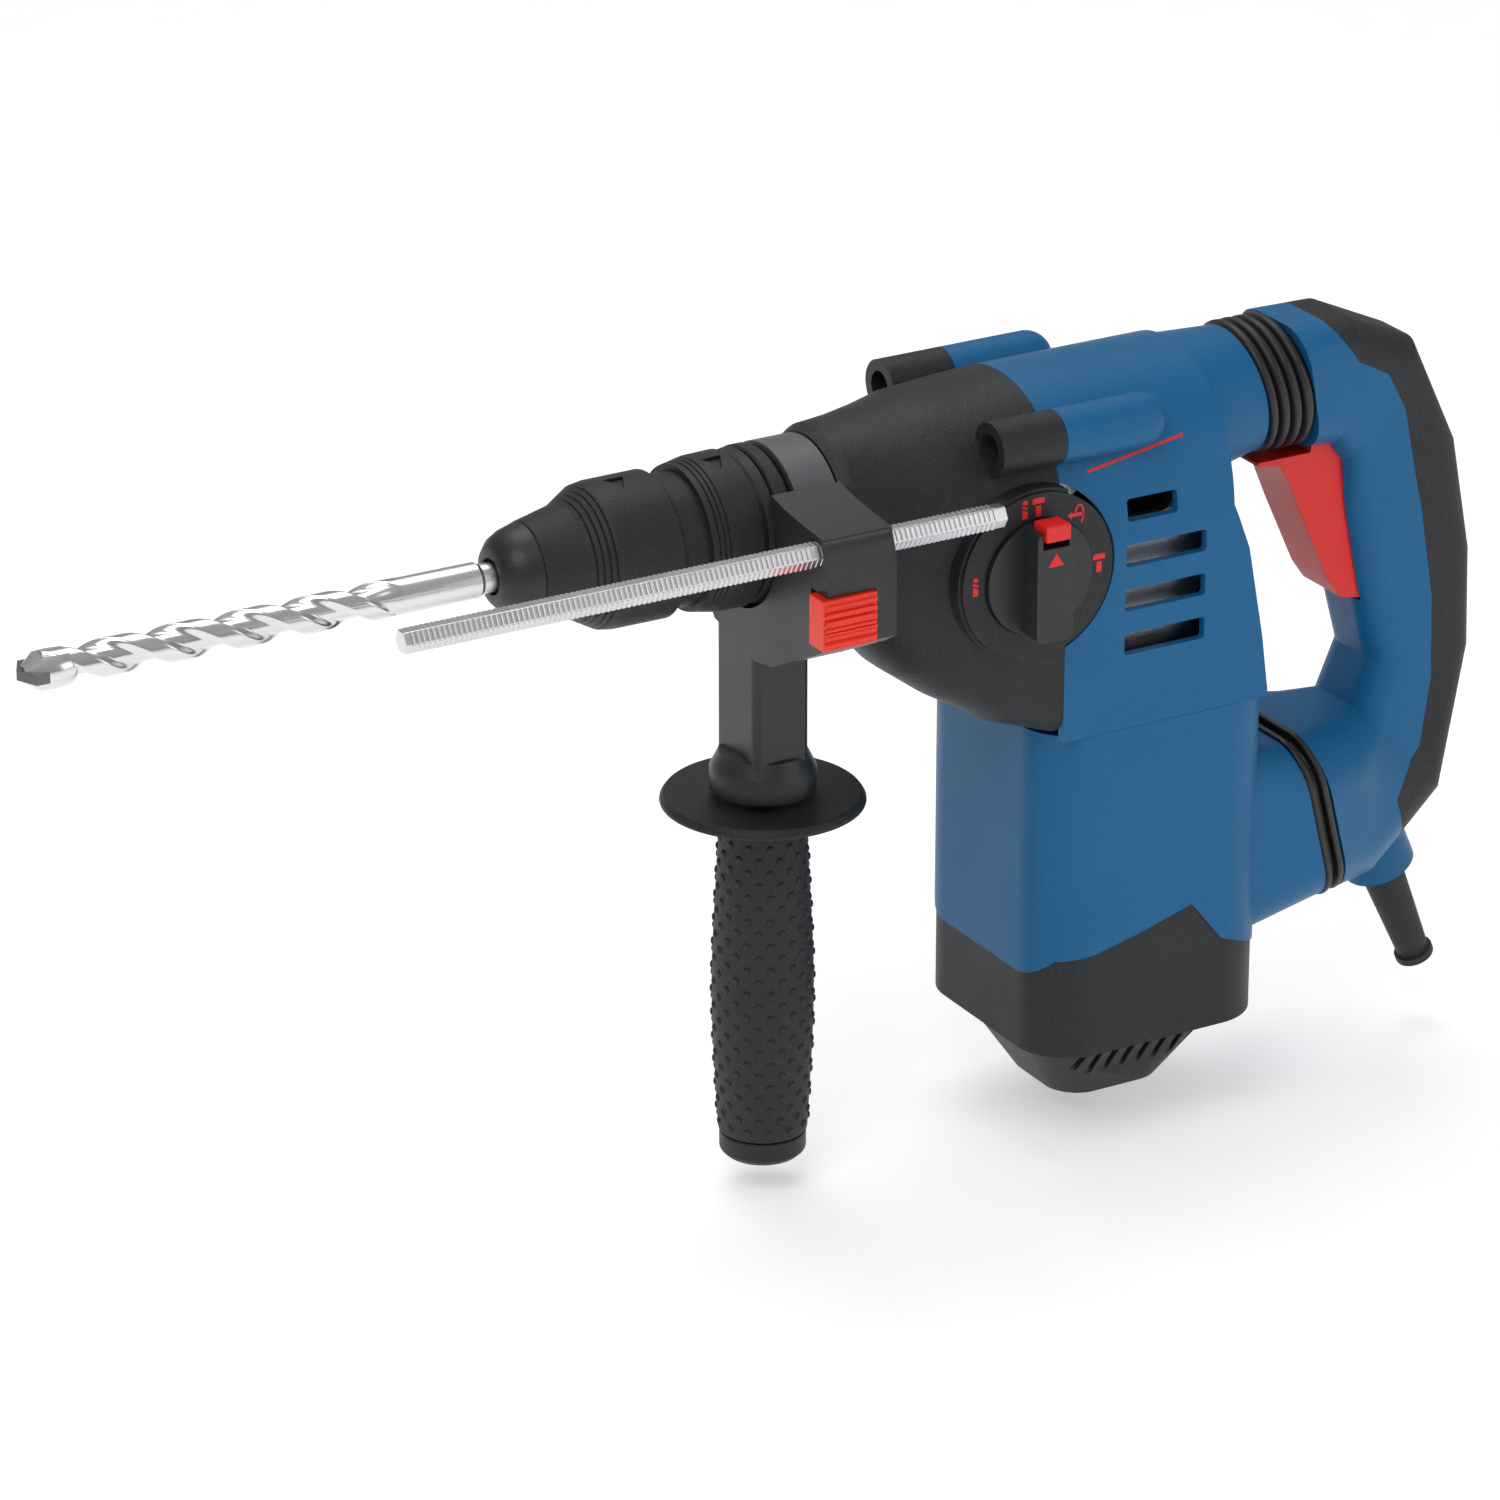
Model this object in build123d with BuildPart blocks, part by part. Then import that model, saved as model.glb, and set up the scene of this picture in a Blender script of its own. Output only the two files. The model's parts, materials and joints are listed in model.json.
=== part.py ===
"""Rotary hammer with a side handle, a depth rod and a masonry drill.

Frame: millimetres, +Z up. The origin is the centre of the chuck's mouth, on the
spindle's axis. The drill points along -X, the rear handle is at +X, and the tool's
left side, which carries the mode selector, faces -Y.
"""

from build123d import *
import os
from math import cos, pi, radians, sin

os.makedirs("parts", exist_ok=True)

# ---------------------------------------------------------------- driving dimensions
# Fits. Radial clearance of turning fits, of sliding fits, and of pieces that only seat.
run_gap = 0.03
slide_gap = 0.04
seat_gap = 0.02
free_gap = 0.4

# Drill: a 12 mm masonry drill on a 10 mm slotted shank.
shank_r = 5.0
shank_end_x = 44.0
collar_r = 5.75
collar_x0 = -35.0
collar_x1 = -5.0
flute_r = 6.0
head_x = -152.0
head_r = 6.6
head_length = 12.0
tip_x = -162.0
tip_half_width = 7.2
tip_thickness = 3.4
bit_travel = 8.0
shank_slot_width = 3.0
shank_slot_depth = 2.0
shank_slot_length = 24.0

# Chuck.
mouth_x = 0.0
nose_mouth_r = 6.0
nose_r = 15.4
sleeve_x0 = 12.0
sleeve_cone_x = 34.0
sleeve_r = 24.1
sleeve_x1 = 57.5
sleeve_travel = 6.0
sleeve_wall = 2.6
waist_r = 21.8
ring_x0 = 67.0
ring_x1 = 90.5
ring_r = 25.6
flange_x1 = 96.5
flange_r = 25.8
ball_r = 3.3
ball_x = 20.0
ball_centre_r = 6.7
holder_r = 10.5
holder_x0 = 3.0
holder_x1 = 64.0
bolt_r = 8.0
bolt_x0 = 44.6
bolt_x1 = 82.0
spring_wire_r = 0.8

# Hammer mechanism.
tube_x0 = 66.0
tube_cavity_x = 78.0
tube_x1 = 182.0
tube_r = 17.5
tube_bore_r = 14.0
striker_x0 = 86.0
striker_x1 = 118.0
piston_x0 = 124.0
piston_x1 = 158.0
piston_stroke = 18.0
wrist_x = 150.0
wrist_r = 3.5
rod_half_height = 4.5
oring_r = 1.3

# Gear train: all upright shafts stand on the spindle's middle plane.
gear_module = 1.0
pinion_teeth = 9
crank_teeth = 45
mid_teeth = 30
crank_x = 200.0
gear_z0 = -48.5
gear_z1 = -41.5
bevel_ring_teeth = 26
bevel_pinion_teeth = 8
bevel_module = 2.0
bevel_face = 6.0
crank_shaft_r = 5.0
mid_shaft_r = 4.0
crank_disc_r = 15.0
crank_disc_z0 = -32.5
crank_disc_z1 = -26.5
crank_pin_r = 4.0
crank_pin_gap = 0.3

# Inner frame.
plate_z0 = -58.0
plate_z1 = -50.0
shelf_z0 = -39.5
shelf_z1 = -33.5
frame_x0 = 168.0
frame_x1 = 246.0
frame_half_width = 33.0
frame_wall = 3.0
frame_top_z = 10.0
rear_bush_x0 = 175.0
rear_bush_x1 = 181.5
bush_wall = 3.0

# Gear case.
neck_x0 = 98.0
neck_r = 24.4
neck_bore_r = 20.5
case_x0 = 114.0
case_x1 = 186.0
case_wall = 3.0
case_bottom_z = -80.0
case_half_width = 43.0
case_top_z = 35.0
front_bearing_x0 = 116.0
front_bearing_x1 = 126.0
front_bearing_r = 24.0
boss_y = 34.0
boss_z = 23.0
boss_r = 9.0
boss_x0 = 162.0
boss_x1 = 222.0
boss_bore_r = 5.2
case_screw_r = 2.5

# Upper housing.
upper_gap = 0.1
upper_wall = 3.0
waist_z = -20.0
upper_rear_top_x = 247.0
upper_rear_x = 266.0
neck_centre_z = 12.5
neck_ring_r = 22.0
neck_end_x = 277.0
neck_tilt = 10.0
spring_web_x = 260.0
vent_height = 7.5
vent_pitch = 15.3
vent_first_z = -4.5
vent_x0 = 209.0
vent_x1 = 240.0

# Motor housing and its cap.
motor_x = 227.0
motor_half_x = 45.0
motor_half_y = 43.0
motor_corner_r = 20.0
motor_wall = 3.0
swoop_front_z = -168.0
swoop_peak_z = -149.0
swoop_peak_x = 238.0
swoop_rear_x = 250.0
swoop_rear_z = -172.0
cap_inset = 0.6
cap_lip_z = -196.0
cap_bottom_z = -222.0
cap_wall = 3.0
dome_top_half_x = 37.0
dome_top_half_y = 35.0
dome_bottom_half_x = 21.0
dome_bottom_half_y = 20.0
dome_corner_r = 16.0
vent_slot_width = 2.6
vent_slot_count = 8
vent_slot_pitch = 6.4

# Motor.
stator_z0 = -150.0
stator_z1 = -108.0
stator_bore_r = 24.6
core_r = 24.0
armature_shaft_r = 4.0
armature_z0 = -209.0
commutator_r = 13.0
commutator_z0 = -182.0
commutator_z1 = -166.0
fan_r = 35.0
fan_z0 = -98.0
fan_z1 = -88.0
lower_bearing_z0 = -208.0
lower_bearing_z1 = -200.0
small_bearing_r = 11.0
brush_width = 8.0
brush_height = 10.0
motor_screw_r = 1.8
motor_screw_head_r = 3.4
motor_screw_length = 36.0

# Rear handle.
handle_pivot_x = 283.0
handle_pivot_z = -140.0
pivot_pin_r = 4.0
handle_half_width = 17.0
handle_skin = 3.0
arm_tilt = 14.0
arm_half_width = 37.0
arm_half_height = 30.0
arm_front_x = 292.0
arm_rear_x = 300.5
arm_centre_z = -137.0
upper_arm_x = 296.0
upper_bellows_gap = 4.0
lower_bellows_gap = 1.3
trigger_half_width = 11.0
trigger_pivot_x = 309.5
trigger_pivot_z = -7.5
trigger_swing = 3.5
trigger_pin_r = 1.5
trigger_gap = 0.5
switch_half_width = 9.0
sleeve_tilt = 23.7
sleeve_top_x = 344.0
sleeve_top_z = -174.0
sleeve_length = 42.0
cord_sleeve_top_r = 7.5
cord_sleeve_end_r = 5.6
cord_sleeve_flange_r = 6.8
cord_bore_r = 4.2
cord_seat_start = 14.0

# Side handle.
stem_x = 98.5
stem_half_x = 10.3
stem_half_y = 13.0
stem_z0 = -84.0
collar_ring_r = 17.5
collar_ring_z0 = -92.0
guard_r = 33.7
grip_z0 = -223.5
grip_top_z = -96.5
grip_core_r = 11.0
grip_end_r = 14.4
grip_mid_r = 16.8
band_x0 = 98.5
band_x1 = 113.5
band_thickness = 1.4
tension_bolt_r = 4.0
saddle_r = 26.7
lug_reach = 5.6
rod_y = -51.5
rod_z = 7.9
rod_flats = 7.6
rod_x0 = -58.0
rod_x1 = 156.0
rod_clear = 0.25
holder_x_front = 88.0
holder_x_rear = 112.0
holder_front_y = -58.5
button_x0 = 85.5
button_x1 = 105.0
button_y0 = -60.1
button_depth = 9.0
button_pocket_y = -48.0
button_z0 = -22.0
button_z1 = -5.0

# Mode selector.
dial_x = 174.5
dial_z = -19.0
dial_r = 28.3
dial_y = -44.5
dial_seat_y = -43.5
knob_r = 19.5
knob_y = -46.0
bar_half_width = 6.9
bar_half_length = 19.0
bar_y = -55.0
lock_proud = 2.0


# ---------------------------------------------------------------- worked-out values
pinion_pitch_r = gear_module * pinion_teeth / 2
crank_pitch_r = gear_module * crank_teeth / 2
mid_pitch_r = gear_module * mid_teeth / 2
armature_x = crank_x + crank_pitch_r + pinion_pitch_r
mid_x = crank_x - crank_pitch_r - mid_pitch_r
bevel_ring_r = bevel_module * bevel_ring_teeth / 2
bevel_pinion_r = bevel_module * bevel_pinion_teeth / 2
crank_throw = piston_stroke / 2
motor_x0 = motor_x - motor_half_x
motor_x1 = motor_x + motor_half_x


def save(builder, label):
    """Label a finished piece and write it to its own file."""
    builder.part.label = label
    export_step(builder.part, f"parts/{label}.step")


def ring_points(outline):
    """Revolve a closed outline of (x, radius) points around the spindle's axis."""
    with BuildSketch(Plane.XZ) as profile:
        with BuildLine():
            Polyline(*outline, close=True)
        make_face()
    revolve(profile.sketch, axis=Axis.X)


def upright_points(x, outline):
    """Revolve a closed outline of (radius, z) points around an upright axis at x."""
    with BuildSketch(Plane.XZ) as profile:
        with BuildLine():
            Polyline(*[(x + r, z) for r, z in outline], close=True)
        make_face()
    revolve(profile.sketch, axis=Axis((x, 0, 0), (0, 0, 1)))


def oval(half_w, top, bottom, middle, top_power, bottom_power, count=40):
    """Draw a closed section whose halves are superellipses above and below middle."""
    points = []
    for i in range(count):
        angle = 2 * pi * i / count
        c = abs(cos(angle))
        s = abs(sin(angle))
        height = top - middle if sin(angle) >= 0 else middle - bottom
        power = top_power if sin(angle) >= 0 else bottom_power
        reach = ((c / half_w) ** power + (s / height) ** power) ** (-1 / power)
        points.append((reach * cos(angle), middle + reach * sin(angle)))
    with BuildLine() as outline:
        Spline(*points, periodic=True)
    make_face(outline.edges())


def spur_outline(teeth, module, root, tip, share):
    """Corner points of a spur gear whose teeth take a share of the pitch."""
    pitch_r = module * teeth / 2
    points = []
    for i in range(teeth):
        middle = 2 * pi * i / teeth
        half = share * pi / teeth
        for side, radius, spread in ((-1, root, 1.5), (-1, tip, 0.55), (1, tip, 0.55), (1, root, 1.5)):
            turn = middle + side * half * spread
            points.append(((pitch_r + radius) * cos(turn), (pitch_r + radius) * sin(turn)))
    return points


def spur_gear(x, z0, z1, teeth, bore, turn=0.0):
    """Extrude a spur gear on an upright axis at x, with a bore."""
    plane = Plane(origin=(x, 0, z0), x_dir=(cos(turn), sin(turn), 0), z_dir=(0, 0, 1))
    with BuildSketch(plane) as profile:
        with BuildLine():
            Polyline(*spur_outline(teeth, gear_module, -1.15, 0.85, 0.42), close=True)
        make_face()
        if bore > 0:
            Circle(bore, mode=Mode.SUBTRACT)
    extrude(profile.sketch, amount=z1 - z0)


def side_plane(y):
    """A plane that faces -Y at y, with its own x along +X and its own y along +Z."""
    return Plane(origin=(0, y, 0), x_dir=(1, 0, 0), z_dir=(0, -1, 0))


def station(x, z, heading):
    """A section plane across the rear handle, whose path runs along heading."""
    along = radians(heading)
    return Plane(origin=(x, 0, z), x_dir=(0, 1, 0), z_dir=(cos(along), 0, sin(along)))


def coil(x0, x1, z, coil_r, wire_r, turns):
    """A wire spring along X, centred at z."""
    pitch = (x1 - x0 - 2 * wire_r) / turns
    start = (x0 + wire_r, 0, z)
    with BuildLine() as path:
        Helix(pitch=pitch, height=pitch * turns, radius=coil_r, center=start, direction=(1, 0, 0))
    with BuildSketch(Plane(origin=path.line @ 0, z_dir=path.line % 0)) as wire:
        Circle(wire_r)
    sweep(wire.sketch, path=path.line, is_frenet=True)


# ---------------------------------------------------------------- drill
with BuildPart() as drill_bit:
    ring_points(
        [
            (shank_end_x, 0),
            (shank_end_x, shank_r - 1.2),
            (shank_end_x - 1.2, shank_r),
            (collar_x1, shank_r),
            (collar_x1, collar_r),
            (collar_x0, collar_r),
            (collar_x0 - 1, flute_r),
            (head_x, flute_r),
            (head_x - 1, head_r),
            (head_x - head_length + 6, head_r),
            (tip_x, 0.8),
            (tip_x, 0),
        ]
    )
    # Closed grooves for the locking balls, long enough for the drill's free travel.
    for side in (-1, 1):
        with BuildSketch(Plane.XY.offset(side * (shank_r - 1.7))):
            with Locations((ball_x + bit_travel / 2, 0)):
                SlotCenterToCenter(bit_travel + 1.6, 2 * ball_r + 0.9)
        extrude(amount=side * 4, mode=Mode.SUBTRACT)
    # Open driving slots at the shank's end.
    for side in (-1, 1):
        with Locations((shank_end_x - shank_slot_length / 2, side * shank_r, 0)):
            Box(shank_slot_length, 2 * shank_slot_depth, shank_slot_width, mode=Mode.SUBTRACT)
    # The carbide plate's slot across the head.
    with Locations((tip_x + 3, 0, 0)):
        Box(10, 4 * head_r, tip_thickness, mode=Mode.SUBTRACT)
save(drill_bit, "drill_bit")

with BuildPart() as carbide_tip:
    plate_back = tip_x + 8 - seat_gap
    with BuildSketch(Plane.XY):
        with BuildLine():
            Polyline(
                (plate_back, -tip_half_width),
                (tip_x + 3.5, -tip_half_width),
                (tip_x, 0),
                (tip_x + 3.5, tip_half_width),
                (plate_back, tip_half_width),
                close=True,
            )
        make_face()
    extrude(amount=tip_thickness / 2 - seat_gap, both=True)
save(carbide_tip, "carbide_tip")

# ---------------------------------------------------------------- spindle and chuck
holder_bore = shank_r + slide_gap
with BuildPart() as tool_holder:
    ring_points(
        [
            (holder_x0, holder_bore),
            (holder_x0, holder_r - 1.5),
            (holder_x0 + 2, holder_r),
            (holder_x1, holder_r),
            (holder_x1, bolt_r + slide_gap),
            (bolt_x0, bolt_r + slide_gap),
            (bolt_x0, holder_bore),
        ]
    )
    with Locations((ball_x, 0, 0)):
        Cylinder(ball_r + slide_gap, 4 * holder_r, mode=Mode.SUBTRACT)
save(tool_holder, "tool_holder")

with BuildPart() as locking_balls:
    with Locations((ball_x, 0, ball_centre_r), (ball_x, 0, -ball_centre_r)):
        Sphere(ball_r)
save(locking_balls, "locking_balls")

with BuildPart() as hammer_tube:
    ring_points(
        [
            (tube_x0, bolt_r + slide_gap),
            (tube_x0, tube_r),
            (tube_x1, tube_r),
            (tube_x1, tube_bore_r),
            (tube_cavity_x + 3, tube_bore_r),
            (tube_cavity_x, bolt_r + slide_gap),
        ]
    )
save(hammer_tube, "hammer_tube")

with BuildPart() as chuck_core:
    ring_points(
        [
            (holder_x1 - 6, holder_r + seat_gap),
            (holder_x1 - 6, waist_r),
            (ring_x0 - 0.4, waist_r),
            (ring_x1 + 0.5, waist_r),
            (ring_x1 + 0.5, flange_r - 0.8),
            (ring_x1 + 1.3, flange_r),
            (flange_x1 - 0.8, flange_r),
            (flange_x1, flange_r - 0.8),
            (flange_x1, tube_r + seat_gap),
            (tube_x0, tube_r + seat_gap),
            (tube_x0 - 0.5, holder_r + seat_gap),
        ]
    )
save(chuck_core, "chuck_core")

lock_ring_r = sleeve_r - sleeve_wall - seat_gap
with BuildPart() as change_ring:
    groove_pitch = 2.3
    outline = [
        (ring_x0, waist_r + run_gap),
        (ring_x0, sleeve_r - 1.6),
        (ring_x0 + 3, ring_r - 0.3),
    ]
    for i in range(3):
        groove_x = ring_x0 + 4.2 + groove_pitch * i
        outline += [(groove_x, ring_r), (groove_x + 0.4, ring_r - 0.7), (groove_x + 0.8, ring_r)]
    outline += [
        (ring_x1 - 3.2, ring_r),
        (ring_x1 - 2, ring_r - 1.1),
        (ring_x1 - 0.8, ring_r - 0.6),
        (ring_x1, ring_r - 1.0),
        (ring_x1, waist_r + run_gap),
    ]
    ring_points(outline)
save(change_ring, "change_ring")

# The sleeve's lock ring holds the balls in and drops away from them when pulled back.
ring_clear = ball_centre_r + ball_r + slide_gap
sleeve_bore = holder_r + run_gap
with BuildPart() as lock_ring:
    ring_points(
        [
            (ball_x - 8, sleeve_bore),
            (ball_x - 8, sleeve_bore + 2.2),
            (ball_x + 6, sleeve_bore + 2.2),
            (ball_x + 6, sleeve_bore),
        ]
    )
save(lock_ring, "lock_ring")

sleeve_inner = sleeve_bore + 2.2 + seat_gap
with BuildPart() as lock_sleeve:
    outline = [(sleeve_x0, sleeve_inner), (sleeve_x0, nose_r), (sleeve_x0 + 13.6, 18.9)]
    for i in range(4):
        groove_x = sleeve_x0 + 14.2 + 1.9 * i
        groove_top = 19.2 + 0.95 * i
        outline += [(groove_x, groove_top), (groove_x + 0.5, groove_top - 0.4), (groove_x + 0.9, groove_top + 0.6)]
    outline += [
        (sleeve_cone_x + 1.5, sleeve_r - 0.6),
        (sleeve_cone_x + 4, sleeve_r),
        (sleeve_x1 - 0.6, sleeve_r),
        (sleeve_x1, sleeve_r - 0.6),
        (sleeve_x1, waist_r + 0.5),
        (sleeve_cone_x + 4.5, waist_r + 0.5),
        (sleeve_cone_x + 2, holder_r + 4.5),
        (ball_x + 8.5, holder_r + 4.5),
        (ball_x + 7.5, sleeve_inner),
    ]
    ring_points(outline)
    # Moulded arrow recess, repeated round the sleeve.
    for turn in (26, 206):
        arrow = Plane(
            origin=(sleeve_x1 - 9, -sleeve_r * sin(radians(turn)), sleeve_r * cos(radians(turn))),
            x_dir=(1, 0, 0),
            z_dir=(0, -sin(radians(turn)), cos(radians(turn))),
        )
        with BuildSketch(arrow):
            with BuildLine():
                Polyline((-6, 0), (3, 5), (3, -5), close=True)
            make_face()
        extrude(amount=-1.2, mode=Mode.SUBTRACT)
save(lock_sleeve, "lock_sleeve")

with BuildPart() as nose_cap:
    ring_points(
        [
            (mouth_x, nose_mouth_r),
            (mouth_x, nose_mouth_r + 1.2),
            (mouth_x + 0.6, 9.6),
            (mouth_x + 3, 12.2),
            (mouth_x + 6.5, 14.0),
            (sleeve_x0 - 0.3, nose_r),
            (sleeve_x0 - 0.3, sleeve_bore + 0.4),
            (holder_x0 + 2.1, holder_r + seat_gap),
            (holder_x0 + 2, holder_r + seat_gap),
            (holder_x0 - 0.1, holder_r - 1.5),
            (holder_x0 - 0.1, nose_mouth_r),
        ]
    )
save(nose_cap, "nose_cap")

spring_seat_x = holder_x1 - 6
with BuildPart() as sleeve_spring:
    coil(ball_x + 9 + sleeve_travel, spring_seat_x - 0.3, 0, holder_r + 2.2, spring_wire_r, 6)
save(sleeve_spring, "sleeve_spring")

with BuildPart() as bevel_ring:
    root_gap = 2.0
    outline = [
        (mid_x - bevel_pinion_r - 8, tube_r + seat_gap),
        (mid_x - bevel_pinion_r - 8, bevel_ring_r + 1),
        (mid_x - bevel_pinion_r - root_gap, bevel_ring_r + 1),
        (mid_x - bevel_pinion_r * 0.75 - root_gap, bevel_ring_r * 0.75),
        (mid_x - bevel_pinion_r * 0.75 - root_gap, tube_r + seat_gap),
    ]
    ring_points(outline)
    near = (bevel_ring_r - bevel_face) / bevel_ring_r
    for i in range(bevel_ring_teeth):
        turn = 2 * pi * i / bevel_ring_teeth - pi / 2
        for share in (1.0, near):
            plane = Plane(
                origin=(
                    mid_x - bevel_pinion_r * share,
                    bevel_ring_r * share * cos(turn),
                    bevel_ring_r * share * sin(turn),
                ),
                x_dir=(0, -sin(turn), cos(turn)),
                z_dir=(0, cos(turn), sin(turn)),
            )
            with BuildSketch(plane):
                with BuildLine():
                    Polyline(
                        (-1.7 * share, -3.0 * share),
                        (-0.55 * share, 1.2 * share),
                        (0.55 * share, 1.2 * share),
                        (1.7 * share, -3.0 * share),
                        close=True,
                    )
                make_face()
        loft()
save(bevel_ring, "bevel_ring")

# ---------------------------------------------------------------- hammer mechanism
with BuildPart() as impact_bolt:
    ring_points(
        [
            (bolt_x0, 0),
            (bolt_x0, 4.4),
            (bolt_x0 + 1, bolt_r - 2.6),
            (bolt_x0 + 8, bolt_r),
            (bolt_x1 - 6, bolt_r),
            (bolt_x1, bolt_r - 2.5),
            (bolt_x1, 0),
        ]
    )
save(impact_bolt, "impact_bolt")


def ram_outline(x0, x1, groove_x):
    """Outline of a solid sliding ram with one O-ring groove."""
    outer = tube_bore_r - slide_gap
    return [
        (x0, 0),
        (x0, outer - 2),
        (x0 + 2, outer),
        (groove_x - oring_r, outer),
        (groove_x - oring_r, outer - 1.9 * oring_r),
        (groove_x + oring_r, outer - 1.9 * oring_r),
        (groove_x + oring_r, outer),
        (x1 - 1, outer),
        (x1, outer - 1),
        (x1, 0),
    ]


def seal_ring(groove_x):
    """An O-ring that fills a ram's groove."""
    outer = tube_bore_r - slide_gap
    with BuildSketch(Plane.XZ) as profile:
        with Locations((groove_x, outer - 0.95 * oring_r)):
            Circle(0.9 * oring_r)
    revolve(profile.sketch, axis=Axis.X)


striker_groove_x = striker_x1 - 6
with BuildPart() as striker:
    ring_points(ram_outline(striker_x0, striker_x1, striker_groove_x))
save(striker, "striker")

with BuildPart() as striker_oring:
    seal_ring(striker_groove_x)
save(striker_oring, "striker_oring")

piston_groove_x = piston_x0 + 6
with BuildPart() as piston:
    ring_points(ram_outline(piston_x0, piston_x1, piston_groove_x))
    with Locations((wrist_x + 4, 0, 0)):
        Box(24, 13, 2 * (rod_half_height + free_gap), mode=Mode.SUBTRACT)
    with Locations((wrist_x, 0, 0)):
        Cylinder(wrist_r, 4 * tube_bore_r, mode=Mode.SUBTRACT)
save(piston, "piston")

with BuildPart() as wrist_pin:
    with Locations((wrist_x, 0, 0)):
        Cylinder(wrist_r - seat_gap, 2 * (tube_bore_r - 2.2))
save(wrist_pin, "wrist_pin")

rod_eye_x = crank_x - crank_throw
with BuildPart() as connecting_rod:
    with BuildSketch(Plane.XY.offset(-rod_half_height)):
        with Locations((wrist_x, 0)):
            Circle(6.0)
        with Locations((rod_eye_x, 0)):
            Circle(crank_pin_r + 4)
        with Locations(((wrist_x + rod_eye_x) / 2, 0)):
            Rectangle(rod_eye_x - wrist_x, 8)
        with Locations((wrist_x, 0)):
            Circle(wrist_r, mode=Mode.SUBTRACT)
        with Locations((rod_eye_x, 0)):
            Circle(crank_pin_r + slide_gap, mode=Mode.SUBTRACT)
    extrude(amount=2 * rod_half_height)
save(connecting_rod, "connecting_rod")

with BuildPart() as crank_shaft:
    upright_points(
        crank_x,
        [
            (0, plate_z0 + 0.5),
            (crank_shaft_r, plate_z0 + 0.5),
            (crank_shaft_r, crank_disc_z0),
            (crank_disc_r, crank_disc_z0),
            (crank_disc_r, crank_disc_z1 - 1),
            (crank_disc_r - 1, crank_disc_z1),
            (0, crank_disc_z1),
        ],
    )
    pin_top = -rod_half_height - crank_pin_gap
    with BuildSketch(Plane.XY.offset(crank_disc_z1)):
        with Locations((rod_eye_x, 0)):
            Circle(crank_pin_r)
    extrude(amount=pin_top - crank_disc_z1)
save(crank_shaft, "crank_shaft")

with BuildPart() as crank_gear:
    spur_gear(crank_x, gear_z0, gear_z1, crank_teeth, crank_shaft_r + seat_gap)
save(crank_gear, "crank_gear")

# The middle gear has a space facing the crank gear's tooth, which points along -X.
with BuildPart() as middle_gear:
    crank_phase = (pi / (2 * pi / crank_teeth)) % 1.0
    mid_turn = (0.5 - crank_phase) * 2 * pi / mid_teeth
    spur_gear(mid_x, gear_z0, gear_z1, mid_teeth, mid_shaft_r + seat_gap, mid_turn)
save(middle_gear, "middle_gear")

with BuildPart() as bevel_shaft:
    upright_points(
        mid_x,
        [
            (0, plate_z0 + 0.5),
            (mid_shaft_r, plate_z0 + 0.5),
            (mid_shaft_r, crank_disc_z0),
            (bevel_pinion_r - 2.6, -bevel_ring_r - 3),
            (bevel_pinion_r - 2.2, -bevel_ring_r),
            ((bevel_pinion_r - 2.2) * 0.77, -bevel_ring_r + bevel_face),
            (0, -bevel_ring_r + bevel_face),
        ],
    )
    # Straight teeth that taper towards the point where both axes meet.
    near = (bevel_ring_r - bevel_face) / bevel_ring_r
    for i in range(bevel_pinion_teeth):
        turn = 2 * pi * (i + 0.5) / bevel_pinion_teeth
        for share in (1.0, near):
            plane = Plane(
                origin=(mid_x, 0, -bevel_ring_r * share),
                x_dir=(cos(turn), sin(turn), 0),
                z_dir=(0, 0, 1),
            )
            with BuildSketch(plane):
                with BuildLine():
                    Polyline(
                        ((bevel_pinion_r - 3.0) * share, -1.7 * share),
                        ((bevel_pinion_r + 1.2) * share, -0.55 * share),
                        ((bevel_pinion_r + 1.2) * share, 0.55 * share),
                        ((bevel_pinion_r - 3.0) * share, 1.7 * share),
                        close=True,
                    )
                make_face()
        loft()
save(bevel_shaft, "bevel_shaft")

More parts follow.
